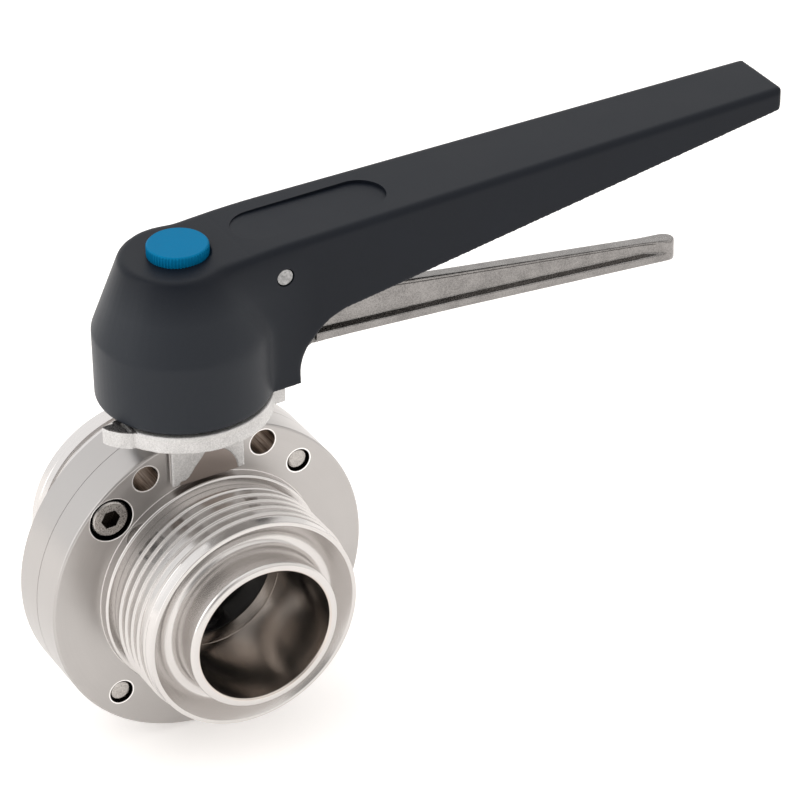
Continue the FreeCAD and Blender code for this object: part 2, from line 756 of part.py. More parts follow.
def cap_screws(name, turn, angles):
    """Socket cap screws of one flange, heads in its counterbores."""
    screws = []
    length = head_seat + S.half_thick - S.screw_end_sink
    for count, degrees in enumerate(angles):
        body = doc.addObject("PartDesign::Body", "%s_%d" % (name, count))
        head_r = S.screw_head_dia / 2
        shank_r = S.screw_dia / 2
        sk = sketch_on(body, "XZ_Plane", "%s_%d_profile" % (name, count))
        tip = head_seat - length
        outline(sk, [
            (0.0, tip), (shank_r - 0.9, tip), (shank_r, tip + 0.9), (shank_r, head_seat),
            (head_r, head_seat), (head_r, head_seat + S.screw_head - 0.6),
            (head_r - 0.6, head_seat + S.screw_head), (0.0, head_seat + S.screw_head),
        ])
        revolve(body, sk, "%s_%d_turned" % (name, count))
        doc.recompute()
        hexagon(body, "%s_%d_socket" % (name, count), head_seat + S.screw_head,
                S.screw_hex, S.screw_head / 2)
        x, y = polar(screw_r, degrees)
        body.Placement = FreeCAD.Placement(turn.multVec(V(x.value, y.value, 0)), turn)
        across = turn.multVec(V(1, 0, 0)).x
        body.setExpression("Placement.Base.x", (x * across).text)
        body.setExpression("Placement.Base.z", y.text)
        screws.append(body)
    group = doc.addObject("Part::Compound", name + "_set")
    group.Links = screws
    return node(group, name)


def hexagon(body, name, top, across_flats, depth):
    """Hexagon socket cut down from the top of a turned head."""
    sk = sketch_on(body, "XY_Plane", name + "_outline")
    lift(sk, top)
    radius = across_flats * (1 / math.sqrt(3.0))
    points = []
    for k in range(6):
        a = math.radians(60 * k)
        points.append((radius * round(math.cos(a), 9), radius * round(math.sin(a), 9)))
    clean = []
    for x, y in points:
        clean.append((x if abs(x.value) > 1e-6 else 0.0, y if abs(y.value) > 1e-6 else 0.0))
    outline(sk, clean)
    return pocket(body, sk, name, depth)


def bracket_screws():
    screws = []
    rise = small_head()
    for count, (x, y) in enumerate(small_screw_points()):
        body = doc.addObject("PartDesign::Body", "bracket_screw_%d" % count)
        head_r = S.small_head_dia / 2
        shank_r = S.small_screw_dia / 2
        base = tray_floor - rise
        sk = sketch_on(body, "XZ_Plane", "bracket_screw_%d_profile" % count)
        tip = boss_top - S.small_screw_length + 1.0
        outline(sk, [
            (0.0, tip), (shank_r - 0.5, tip), (shank_r, tip + 0.5), (shank_r, base),
            (head_r, base), (head_r, tray_floor), (0.0, tray_floor),
        ])
        revolve(body, sk, "bracket_screw_%d_turned" % count)
        doc.recompute()
        hexagon(body, "bracket_screw_%d_socket" % count, tray_floor, S.screw_hex / 2, rise / 2)
        place(body, x, y)
        screws.append(body)
    group = doc.addObject("Part::Compound", "bracket_screw_set")
    group.Links = screws
    return node(group, "bracket_screws")


# Grip handle: hollow hood over the stem and a channel-shaped arm.

def arm_half_width(x):
    """Half of the arm's width at a distance from the stem axis."""
    slope = (S.arm_root_width - S.arm_tip_width) / 2 / S.arm_length
    return S.arm_root_width / 2 - slope * x


def grip_handle():
    name = "grip_handle"
    body = new_body(name)
    tip_x = S.arm_length
    under_x = gusset_x + S.gusset_round - 0.1
    sk = sketch_on(body, "XZ_Plane", name + "_side_profile")
    outline(sk, [
        (0.0, hood_bottom), (gusset_x, hood_bottom), (under_x, arm_under_start),
        (tip_x - 2.0, deck_end - S.arm_tip_thick), (tip_x, deck_end - S.arm_tip_thick + 2.0),
        (tip_x, deck_end + 2.0), (0.0, deck_end + 2.0),
    ], {1: -(S.gusset_round + 0.6), 3: 2.6})
    pad(body, sk, name + "_arm", S.arm_root_width + 4.0, midplane=True)
    sk = sketch_on(body, "XY_Plane", name + "_plan_outline")
    root = S.arm_root_width / 2
    tip = S.arm_tip_width / 2
    r = S.tip_corner
    far = root + 10.0
    outline(sk, [
        (-5.0, root), (tip_x - r, tip), (tip_x, tip - r), (tip_x, -(tip - r)), (tip_x - r, -tip),
        (-5.0, -root), (-5.0, -far), (tip_x + 5.0, -far), (tip_x + 5.0, far), (-5.0, far),
    ])
    pocket(body, sk, name + "_taper", deck_end + 20.0, reverse=True)
    hood_r = S.hood_dia / 2
    deck_r = hub_deck_dia / 2
    narrowing = (hood_r - deck_r) / (hub_deck - hood_shoulder)
    sk = sketch_on(body, "XZ_Plane", name + "_hood_profile")
    outline(sk, [
        (0.0, hood_bottom), (hood_r - 0.6, hood_bottom), (hood_r, hood_bottom + 0.6),
        (hood_r, hood_shoulder), (deck_r - 4.0 * narrowing, hub_deck + 4.0),
        (0.0, hub_deck + 4.0),
    ])
    revolve(body, sk, name + "_hood")
    doc.recompute()
    sk = sketch_on(body, "XZ_Plane", name + "_deck_line")
    high = deck_end + 8.0
    outline(sk, [
        (-(hood_r), hub_deck), (0.0, hub_deck), (S.ramp_end, deck_start),
        (tip_x + 5.0, deck_end), (tip_x + 5.0, high), (-(hood_r), high),
    ])
    pocket(body, sk, name + "_deck", S.hood_dia, midplane=True)
    round_deck(body, name)
    inner_r = hood_r - S.hood_wall
    ceiling = hub_deck - S.deck_thick
    boss_r = boss_dia / 2
    sk = sketch_on(body, "XZ_Plane", name + "_hood_cavity_profile")
    outline(sk, [
        (boss_r, hood_boss_bottom), (0.0, hood_boss_bottom), (0.0, hood_bottom - 1.0),
        (inner_r, hood_bottom - 1.0), (inner_r, hood_shoulder - 1.0),
        (deck_r - S.hood_wall, ceiling), (boss_r, ceiling),
    ])
    groove(body, sk, name + "_hood_cavity")
    sk = sketch_on(body, "XZ_Plane", name + "_channel_profile")
    start = boss_r - 2.0
    outline(sk, [
        (start, hood_bottom - 1.0), (tip_x - S.tip_solid, hood_bottom - 1.0),
        (tip_x - S.tip_solid, deck_end - S.deck_thick),
        (S.ramp_end, deck_start - S.deck_thick), (start, deck_start - S.deck_thick - 0.5),
    ])
    end_w = S.arm_tip_width / 2 - S.arm_wall
    pocket(body, sk, name + "_channel", 2 * end_w, midplane=True)
    sk = sketch_on(body, "XY_Plane", name + "_channel_taper_outline")
    lift(sk, hood_bottom - 1.0)
    near_w = arm_half_width(start) - S.arm_wall
    far_x = tip_x - S.tip_solid
    outline(sk, [(start, -near_w), (far_x, -end_w), (far_x, end_w), (start, near_w)])
    pocket(body, sk, name + "_channel_taper", deck_start - S.deck_thick - hood_bottom + 0.5,
           reverse=True)
    sk = sketch_on(body, "XY_Plane", name + "_boss_outline")
    lift(sk, hood_boss_bottom)
    circle(sk, 0.0, 0.0, boss_dia)
    pad(body, sk, name + "_boss", ceiling - hood_boss_bottom + 1.0)
    doc.recompute()
    sk = sketch_on(body, "XZ_Plane", name + "_stem_well_profile")
    well = S.plug_dia / 2 + S.snug_gap
    knob_r = S.knob_dia / 2 + S.free_gap
    outline(sk, [
        (0.0, hood_bottom), (S.insert_dia / 2, hood_bottom), (S.insert_dia / 2, insert_top),
        (well, insert_top), (well, hub_deck), (knob_r, hub_deck),
        (knob_r, deck_end + 5.0), (0.0, deck_end + 5.0),
    ])
    groove(body, sk, name + "_stem_well")
    half = S.label_width / 2
    x0 = S.label_start + half
    x1 = S.label_end - half
    sk = sketch_on(body, "XY_Plane", name + "_label_outline")
    lift(sk, deck_start - S.label_depth)
    box_outline(sk, x0, -half, x1, half)
    pocket(body, sk, name + "_label_recess", S.label_depth + 5.0, reverse=True)
    sk = sketch_on(body, "XY_Plane", name + "_label_end_outline")
    lift(sk, deck_start - S.label_depth)
    circle(sk, x0, 0.0, S.label_width)
    circle(sk, x1, 0.0, S.label_width)
    pocket(body, sk, name + "_label_ends", S.label_depth + 5.0, reverse=True)
    sk = sketch_on(body, "XZ_Plane", name + "_pin_hole_outline")
    circle(sk, S.pivot_x, pivot_z, S.pin_dia)
    pocket(body, sk, name + "_pin_hole", S.arm_root_width + 6.0, midplane=True)
    return body


def round_deck(body, name):
    """Rounds the edges that run round the deck and the end of the arm."""
    edges = []
    for index, edge in enumerate(body.Shape.Edges, start=1):
        box = edge.BoundBox
        on_deck = box.ZMin > hub_deck.value - 0.2
        crease = box.XMax - box.XMin < 0.01
        tip = box.XMin > S.arm_length.value - 3.0
        if on_deck and not crease and not tip:
            edges.append("Edge%d" % index)
    base = body.Tip
    f = body.newObject("PartDesign::Fillet", name + "_deck_round")
    f.Base = (base, edges)
    bind(f, "Radius", S.deck_round)
    doc.recompute()
    return f


# Hub insert: metal core with the square drive.

def hub_insert():
    height = insert_top - insert_bottom
    outer = cylinder("hub_insert_outer", S.insert_dia - 2 * S.snug_gap, height,
                     z=insert_bottom)
    depth = height - S.insert_cap
    side = S.square_side + 2 * S.snug_gap
    square = block("hub_insert_square", side, side, depth, -(side / 2), -(side / 2),
                   insert_bottom)
    limit = cylinder("hub_insert_limit", S.stem_dia + 2 * S.snug_gap, depth, z=insert_bottom)
    drive = common("hub_insert_drive", square, limit)
    entry = cylinder("hub_insert_entry", S.stem_dia + 2 * S.snug_gap,
                     stem_shoulder - insert_bottom + S.snug_gap, z=insert_bottom)
    hole = cylinder("hub_insert_hole", S.handle_screw_dia + 2 * S.free_gap,
                    S.insert_cap + 2.0, z=insert_top - S.insert_cap - 1.0)
    return node(cut("hub_insert_cut", outer, fuse("hub_insert_tools", drive, entry, hole)),
                "hub_insert")


def handle_screw():
    name = "handle_screw"
    body = new_body(name)
    seat = insert_top + S.lock_washer_thick
    tip = seat - S.handle_screw_length
    shank = S.handle_screw_dia / 2
    head = S.handle_screw_head_dia / 2
    top = seat + S.handle_screw_head
    sk = sketch_on(body, "XZ_Plane", name + "_profile")
    outline(sk, [
        (0.0, tip), (shank - 0.7, tip), (shank, tip + 0.7), (shank, seat), (head, seat),
        (head, top - 0.5), (head - 0.5, top), (0.0, top),
    ])
    revolve(body, sk, name + "_turned")
    doc.recompute()
    hexagon(body, name + "_socket", top, S.handle_screw_hex, S.handle_screw_head / 2)
    return body


# Knob cap with a ribbed rim.

def knob_cap():
    name = "knob_cap"
    body = new_body(name)
    knob_r = S.knob_dia / 2
    plug_r = S.plug_dia / 2
    base = hub_deck
    top = base + S.knob_height
    sk = sketch_on(body, "XZ_Plane", name + "_profile")
    outline(sk, [
        (0.0, base - 1.6), (plug_r - 1.6, base - 1.6), (plug_r - 1.6, base - S.plug_depth),
        (plug_r, base - S.plug_depth), (plug_r, base), (knob_r, base),
        (knob_r, top - 0.6), (knob_r - 0.6, top), (0.0, top),
    ])
    revolve(body, sk, name + "_turned")
    doc.recompute()
    sk = sketch_on(body, "XY_Plane", name + "_groove_outline")
    lift(sk, base - 0.5)
    circle(sk, knob_r + S.knob_rib_depth * 0.2, 0.0, 1.4 * S.knob_rib_depth)
    first = pocket(body, sk, name + "_groove", S.knob_height + 1.0, reverse=True)
    turns = body.newObject("PartDesign::PolarPattern", name + "_grooves")
    turns.Originals = [first]
    turns.Axis = (sk, ["N_Axis"])
    turns.Angle = 360.0
    turns.Occurrences = int(S.rib_count.value)
    turns.setExpression("Occurrences", S.rib_count.text)
    body.Tip = turns
    doc.recompute()
    return body


# Trigger lever: ribbed lever with a pivot boss and a tooth for the rack.

def lever_points(inset):
    """Outline of the lever, or of its sunk web when inset is given."""
    tooth_x = S.rack_dia / 2 + S.free_gap
    end = lever_end
    low = pivot_z - S.lever_tip_drop
    high = low + S.lever_tip_thick
    if inset is None:
        return [
            (tooth_x, tooth_bottom), (gusset_x, tooth_bottom + 1.0),
            (S.lever_heel_x, (pivot_z - S.heel_drop)), (end - 1.4, low), (end, low + 1.4),
            (end, high - 1.4), (end - 1.4, high), (S.lever_bend_x, (pivot_z - S.bend_drop)),
            (S.lever_shoulder_x, (pivot_z - S.lever_shoulder_drop)), (S.pivot_x + 9.0, pivot_z - 6.0),
            (S.pivot_x, pivot_z), (S.pivot_x - 5.6, pivot_z - 3.0),
            (tooth_x + 2.0, tooth_bottom + 8.0), (tooth_x, tooth_bottom + S.tooth_height),
        ]
    rise = inset * 1.3
    return [
        (tooth_x + 7.0, tooth_bottom + 1.0 + inset), (S.lever_heel_x + 2.0, (pivot_z - S.heel_drop) + rise),
        (end - 4.6, low + rise), (end - 3.8, high - 0.6 * inset),
        (S.lever_bend_x, (pivot_z - S.bend_drop) - 0.7 * inset),
        (S.lever_shoulder_x - 1.0, (pivot_z - S.lever_shoulder_drop) - 0.7 * inset),
        (S.pivot_x + 7.0, pivot_z - 10.5), (S.pivot_x - 1.4, pivot_z - 9.0),
        (tooth_x + 2.0 + inset, tooth_bottom + 9.0),
    ]


def trigger_lever():
    name = "trigger_lever"
    body = new_body(name)
    sk = sketch_on(body, "XZ_Plane", name + "_web_outline")
    outline(sk, lever_points(None), {3: 1.5, 5: 1.5})
    pad(body, sk, name + "_web", S.web_thick, midplane=True)
    sk = sketch_on(body, "XZ_Plane", name + "_rim_outline")
    outline(sk, lever_points(None), {3: 1.5, 5: 1.5})
    outline(sk, lever_points(S.lever_rim))
    pad(body, sk, name + "_rim", S.lever_thick, midplane=True)
    sk = sketch_on(body, "XZ_Plane", name + "_boss_outline")
    circle(sk, S.pivot_x, pivot_z, lever_boss_dia)
    pad(body, sk, name + "_boss", S.lever_thick, midplane=True)
    doc.recompute()
    sk = sketch_on(body, "XZ_Plane", name + "_pin_hole_outline")
    circle(sk, S.pivot_x, pivot_z, S.pin_dia + 2 * S.run_gap)
    pocket(body, sk, name + "_pin_hole", S.lever_thick + 4.0, midplane=True)
    return body


def trigger_pin():
    half = arm_half_width(S.pivot_x) - S.pin_sink
    pin = cylinder("trigger_pin_rod", S.pin_dia, 2 * half, S.pivot_x, -half, pivot_z, ALONG_Y)
    return node(pin, "trigger_pin")


def trigger_spacers():
    """Sleeves on the pin that keep the lever in the middle of the arm."""
    inner = S.lever_thick / 2 + S.free_gap
    outer = arm_half_width(S.pivot_x) - S.arm_wall - S.free_gap
    sleeves = []
    for label, y in (("near", -outer), ("far", inner)):
        tag = "spacer_" + label
        rod = cylinder(tag + "_rod", spacer_dia, outer - inner, S.pivot_x, y, pivot_z, ALONG_Y)
        hole = cylinder(tag + "_hole", S.pin_dia + 2 * S.snug_gap, outer - inner + 2.0,
                        S.pivot_x, y - 1.0, pivot_z, ALONG_Y)
        sleeves.append(cut(tag, rod, hole))
    group = doc.addObject("Part::Compound", "spacer_pair")
    group.Links = sleeves
    return node(group, "trigger_spacers")


def trigger_spring():
    """Torsion spring round the far sleeve: one leg rises to the deck, one hooks on the lever."""
    wire = number(S.spring_wire)
    radius = number(S.spring_dia) / 2
    turns = number(S.spring_turns)
    pitch = wire * 1.12
    reach_x = number(S.spring_hook_x - S.pivot_x)
    reach_z = -number(S.spring_hook_drop)
    reach = math.hypot(reach_x, reach_z)
    run = math.sqrt(reach * reach - radius * radius)
    bend = 1.2 * wire
    coil = Part.makeHelix(pitch, pitch * turns, radius)
    rise = pitch / (2 * math.pi * radius)
    along = V(0, 1, rise).normalize()
    across = V(0, -rise, 1).normalize()
    start = V(radius, 0, 0)
    corner = start - along * run
    low = corner - across * bend
    high = corner + along * bend
    middle = corner + (along - across) * bend * (1 - math.sqrt(0.5))
    free_end = low - across * number(S.lever_thick)
    top = V(radius, 0, pitch * turns)
    path = Part.Wire([
        Part.LineSegment(free_end, low).toShape(),
        Part.Arc(low, middle, high).toShape(),
        Part.LineSegment(high, start).toShape(),
        *coil.Edges,
        Part.LineSegment(top, top + along * (1.8 * wire)).toShape(),
    ])
    section = Part.Wire([Part.makeCircle(wire / 2, free_end, across)])
    spring = path.makePipeShell([section], True, False)
    spring = spring.mirror(V(0, 0, 0), V(0, 1, 0))
    heading = math.atan2(-reach_z, reach_x) + math.asin(radius / reach)
    aim = FreeCAD.Rotation(V(0, 0, 1), math.degrees(heading) - 90.0)
    feature = doc.addObject("Part::Feature", "trigger_spring_coil")
    feature.Shape = spring
    place(feature, S.pivot_x, S.lever_thick / 2 + 1.2 + S.spring_wire / 2, pivot_z,
          ALONG_Y.multiply(aim))
    return node(feature, "trigger_spring")


def lock_washer():
    return tube("lock_washer", S.lock_washer_dia, S.handle_screw_dia + 2 * S.free_gap,
                S.lock_washer_thick, insert_top)


def thrust_washer():
    return tube("thrust_washer", S.insert_dia, S.stem_dia + 2 * S.free_gap,
                insert_bottom - S.run_gap - tray_floor, tray_floor)


def build():
    body_half("body_front", TO_FRONT)
    body_half("body_rear", TO_REAR)
    union_end("union_front", TO_FRONT)
    union_end("union_rear", TO_REAR)
    seat_seal()
    disc()
    upper_stem()
    lower_stem()
    tube("upper_bush", 2 * bush_r, 2 * run_r, boss_top - bush_start, bush_start)
    tube("lower_bush", 2 * bush_r, 2 * run_r, low_bush_end - bush_start - S.free_gap,
         -(low_bush_end - S.free_gap))
    o_rings()
    position_bracket()
    bracket_screws()
    cap_screws("front_cap_screws", TO_FRONT, (135, 315))
    cap_screws("rear_cap_screws", TO_REAR, (135, 315))
    thrust_washer()
    grip_handle()
    hub_insert()
    lock_washer()
    handle_screw()
    knob_cap()
    trigger_lever()
    trigger_pin()
    trigger_spacers()
    trigger_spring()
    doc.recompute()


def check():
    """Stops on any failed feature, empty shape or invalid shape."""
    for obj in doc.Objects:
        bad = [s for s in obj.State if s in ("Invalid", "Error")]
        if bad:
            raise RuntimeError("%s failed: %s" % (obj.Name, bad))
    for obj in NODES:
        if obj.Shape.isNull() or not obj.Shape.isValid():
            raise RuntimeError("%s has no valid shape" % obj.Label)


def write():
    os.makedirs("parts", exist_ok=True)
    for obj in NODES:
        obj.Shape.exportStep("parts/%s.step" % obj.Label)


build()
check()
write()
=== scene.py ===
import json
import math

import bmesh
import bpy
import numpy as np
from mathutils import Euler, Matrix, Vector
from mathutils.bvhtree import BVHTree


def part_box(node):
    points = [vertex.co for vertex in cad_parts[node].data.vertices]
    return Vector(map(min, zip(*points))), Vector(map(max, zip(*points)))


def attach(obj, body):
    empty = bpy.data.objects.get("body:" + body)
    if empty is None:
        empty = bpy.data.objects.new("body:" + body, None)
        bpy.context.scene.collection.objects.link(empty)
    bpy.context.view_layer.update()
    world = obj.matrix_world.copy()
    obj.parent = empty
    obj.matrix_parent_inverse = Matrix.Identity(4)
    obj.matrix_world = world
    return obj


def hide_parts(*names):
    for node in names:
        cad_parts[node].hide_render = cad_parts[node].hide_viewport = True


# Looks of the sanitary butterfly valve. Metres, pipe along Y, stem up along Z, handle along +X.

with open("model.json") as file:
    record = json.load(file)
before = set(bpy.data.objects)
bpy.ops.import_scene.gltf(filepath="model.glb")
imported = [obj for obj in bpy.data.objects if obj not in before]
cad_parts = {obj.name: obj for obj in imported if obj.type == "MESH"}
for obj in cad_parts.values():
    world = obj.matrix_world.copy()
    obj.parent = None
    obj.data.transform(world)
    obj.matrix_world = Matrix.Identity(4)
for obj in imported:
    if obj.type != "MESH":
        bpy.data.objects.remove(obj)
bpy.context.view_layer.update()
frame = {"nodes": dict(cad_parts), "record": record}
MM = 0.001
NODES = frame["nodes"]
BODY_OF = {}
for body_name, members in frame["record"]["behaviour"]["bodies"].items():
    for member in members:
        BODY_OF[member] = body_name


# Node helpers for materials.

class Graph:
    """A material's node tree with short calls for the usual nodes."""

    def __init__(self, name):
        self.material = bpy.data.materials.new(name)
        self.material.use_nodes = True
        self.tree = self.material.node_tree
        self.shader = self.tree.nodes["Principled BSDF"]

    def add(self, kind, **settings):
        node = self.tree.nodes.new(kind)
        for key, value in settings.items():
            setattr(node, key, value)
        return node

    def link(self, source, target):
        self.tree.links.new(source, target)

    def feed(self, socket, value):
        if isinstance(value, (int, float)):
            socket.default_value = value
        else:
            self.link(value, socket)

    def math(self, operation, a, b=0.0, c=0.0):
        node = self.add("ShaderNodeMath", operation=operation)
        for socket, value in zip(node.inputs, (a, b, c)):
            self.feed(socket, value)
        return node.outputs[0]

    def place(self):
        return self.add("ShaderNodeTexCoord").outputs["Object"]

    def parts(self, vector):
        node = self.add("ShaderNodeSeparateXYZ")
        self.link(vector, node.inputs[0])
        return node.outputs

    def joined(self, x, y, z):
        node = self.add("ShaderNodeCombineXYZ")
        for socket, value in zip(node.inputs, (x, y, z)):
            self.feed(socket, value)
        return node.outputs[0]

    def noise(self, vector, scale, detail=3.0, rough=0.55):
        node = self.add("ShaderNodeTexNoise")
        self.link(vector, node.inputs["Vector"])
        node.inputs["Scale"].default_value = scale
        node.inputs["Detail"].default_value = detail
        node.inputs["Roughness"].default_value = rough
        return node.outputs["Fac"]

    def ramp(self, value, *stops):
        node = self.add("ShaderNodeValToRGB")
        self.link(value, node.inputs[0])
        while len(node.color_ramp.elements) < len(stops):
            node.color_ramp.elements.new(0.5)
        for element, (position, color) in zip(node.color_ramp.elements, stops):
            element.position = position
            element.color = (*color, 1.0)
        return node.outputs[0]

    def span(self, value, low, high, start=0.0, end=1.0):
        node = self.add("ShaderNodeMapRange")
        node.inputs["From Min"].default_value = start
        node.inputs["From Max"].default_value = end
        node.inputs["To Min"].default_value = low
        node.inputs["To Max"].default_value = high
        self.link(value, node.inputs["Value"])
        return node.outputs[0]

    def mixed(self, share, first, second):
        """First colour where share is 0, second where it is 1."""
        node = self.add("ShaderNodeMix", data_type="RGBA")
        self.link(share, node.inputs[0])
        for socket, value in ((node.inputs[6], first), (node.inputs[7], second)):
            if isinstance(value, tuple):
                socket.default_value = (*value, 1.0)
            else:
                self.link(value, socket)
        return node.outputs[2]

    def both(self, first, second):
        return self.math("MULTIPLY", first, second)

    def between(self, value, low, high):
        """1 where the value lies between two lengths in millimetres."""
        return self.both(self.math("GREATER_THAN", value, low * MM),
                         self.math("LESS_THAN", value, high * MM))

    def away(self, across, up, x, z):
        """Distance from a line along the pipe at x and z, in all four quarters at once."""
        dx = self.math("SUBTRACT", self.math("ABSOLUTE", across), x * MM)
        dz = self.math("SUBTRACT", self.math("ABSOLUTE", up), z * MM)
        return self.math("SQRT", self.math("ADD", self.both(dx, dx), self.both(dz, dz)))

    def bump(self, height, distance, strength=1.0, normal=None):
        node = self.add("ShaderNodeBump")
        node.inputs["Strength"].default_value = strength
        node.inputs["Distance"].default_value = distance
        self.link(height, node.inputs["Height"])
        if normal is not None:
            self.link(normal, node.inputs["Normal"])
        return node.outputs[0]

    def around(self, axis):
        """Vector that runs with the distance from an axis and along it, almost constant around."""
        x, y, z = self.parts(self.place())
        a, b, along = (x, z, y) if axis == "Y" else (x, y, z)
        radius = self.math("SQRT", self.math("ADD", self.math("MULTIPLY", a, a),
                                             self.math("MULTIPLY", b, b)))
        turn = self.math("MULTIPLY", self.math("ARCTAN2", a, b), 0.0003)
        return self.joined(radius, along, turn)

    def finish(self, color, rough, normal=None, metallic=0.0, **constants):
        self.feed(self.shader.inputs["Roughness"], rough)
        if isinstance(color, tuple):
            self.shader.inputs["Base Color"].default_value = (*color, 1.0)
        else:
            self.link(color, self.shader.inputs["Base Color"])
        self.shader.inputs["Metallic"].default_value = metallic
        if normal is not None:
            self.link(normal, self.shader.inputs["Normal"])
        for key, value in constants.items():
            self.shader.inputs[key.replace("_", " ")].default_value = value
        return self.material


# Steel of the turned bodies: rings left by the lathe, a faint stain, painted light on the liners, painted shade on
# the flange rim, marked holes with painted shade and painted highlights.

BORE_LIMIT = 0.0246
LINER_LIMIT = 0.0405
RIM_LIMIT = 0.0569
SCREW_PLACE = 34.51
PLAIN_HOLE = (21.47, 46.04)
HEAD_FACE = 12.2
PLAIN_EDGE = (4.6, 5.0)
HEAD_EDGE = (7.75, 8.1)
TAIL_EDGE = (4.2, 4.65)
BOSS_HALF = 12.35
BOSS_HEIGHTS = (40.9, 57.2)


def quarters(g):
    """1 in the quarters where cap screws have their heads, 1 where they have their tails."""
    x, y, z = g.parts(g.place())
    product = g.both(g.both(x, y), z)
    return g.math("GREATER_THAN", product, 0.0), g.math("LESS_THAN", product, 0.0)


def hole_marks_and_painted_light(g, color):
    """Drill streaks with painted reflection in the plain holes, painted shade in the counterbores and round the
    screw tails, painted highlights on the broken edges and painted shade on the boss face.
    """
    x, y, z = g.parts(g.place())
    plain = g.away(x, z, *PLAIN_HOLE)
    # Streaks along the upper plain holes: partly drill marks, partly painted reflection, in a browner tone than the
    # steel.
    streaks = g.noise(g.joined(x, g.math("MULTIPLY", y, 0.03), z), 1500.0, 3.0, 0.7)
    wall = g.ramp(streaks, (0.35, (0.22, 0.18, 0.155)), (0.66, (0.66, 0.59, 0.53)))
    above = g.math("GREATER_THAN", z, 0.0)
    color = g.mixed(g.both(g.between(plain, 0.0, PLAIN_EDGE[0]), above), color, wall)
    heads, tails = quarters(g)
    screw = g.away(x, z, SCREW_PLACE, SCREW_PLACE)
    # Painted shade: near black in the counterbores round the screw heads and in the holes round the screw tails.
    dark = g.math("ADD", g.both(heads, g.between(screw, 0.0, HEAD_EDGE[0])),
                  g.both(tails, g.between(screw, 0.0, TAIL_EDGE[0])))
    color = g.mixed(dark, color, (0.03, 0.028, 0.026))
    # Painted highlight: a near-white ring on the broken edges of the counterbores, screw holes and upper plain
    # holes.
    edges = g.math("ADD", g.both(heads, g.between(screw, *HEAD_EDGE)),
                   g.both(tails, g.between(screw, *TAIL_EDGE)))
    edges = g.math("ADD", edges, g.both(g.between(plain, *PLAIN_EDGE), above))
    color = g.mixed(edges, color, (0.95, 0.93, 0.91))
    # Painted shade: the boss face under the bracket's legs is painted dark brown.
    boss = g.both(g.math("LESS_THAN", g.math("ABSOLUTE", x), BOSS_HALF * MM),
                  g.between(z, *BOSS_HEIGHTS))
    return g.mixed(boss, color, (0.33, 0.285, 0.26))


def turned_steel(name, tint, rough, grooves, axis="Y", bore=None, liner=None, tip=None):
    """Bore and liner tint the inner radii, the liner's brighter tint being painted light; tip gives a height and
    the tint of what lies above it.
    """
    g = Graph(name)
    lathe = g.around(axis)
    rings = g.noise(lathe, 2600.0, 2.0, 0.7)
    bands = g.noise(lathe, 420.0, 2.0, 0.5)
    stain = g.noise(g.place(), 26.0, 3.0, 0.6)
    shade = g.math("ADD", g.math("MULTIPLY", rings, 0.35), g.math("MULTIPLY", stain, 0.65))
    dark = tuple(0.95 * c for c in tint)
    light = tuple(min(1.0, 1.04 * c) for c in tint)
    color = g.ramp(shade, (0.3, dark), (0.7, light))
    roughness = g.span(bands, rough - 0.02, rough + 0.03, 0.3, 0.7)
    radius = g.parts(lathe)[0]
    if bore is not None:
        # Painted shade: the flange rim, beyond the rim radius, is a little darker than the faces.
        color = g.mixed(g.math("GREATER_THAN", radius, RIM_LIMIT), color, tuple(0.95 * c for c in tint))
        color = hole_marks_and_painted_light(g, color)
        # Painted light: the liners and the collar, inside the liner radius, wear a brighter tint than the body.
        painted_light_liner = g.ramp(shade, (0.3, tuple(0.94 * c for c in liner)), (0.7, liner))
        inner = g.math("LESS_THAN", radius, LINER_LIMIT)
        color = g.mixed(inner, color, painted_light_liner)
        roughness = g.both(roughness, g.span(inner, 1.0, 0.72))
        outside = g.math("GREATER_THAN", radius, BORE_LIMIT)
        color = g.mixed(outside, bore, color)
        roughness = g.math("MULTIPLY", roughness, g.span(outside, 0.95, 1.0))
    if tip is not None:
        height, patch_tint = tip
        mottle = g.noise(g.place(), 1100.0, 3.0, 0.6)
        ends = g.ramp(mottle, (0.35, tuple(0.55 * c for c in patch_tint)), (0.65, patch_tint))
        color = g.mixed(g.math("GREATER_THAN", g.parts(g.place())[2], height * MM), color, ends)
    normal = g.bump(rings, grooves * MM)
    material = g.finish(color, roughness, normal, 1.0, Anisotropic=0.4, Anisotropic_Rotation=0.25)
    tangent = g.add("ShaderNodeTangent", direction_type="RADIAL", axis=axis)
    g.link(tangent.outputs[0], g.shader.inputs["Tangent"])
    return material


# Blasted or tumbled castings: fine grain over a soft unevenness, with painted shade at the ears and screws.

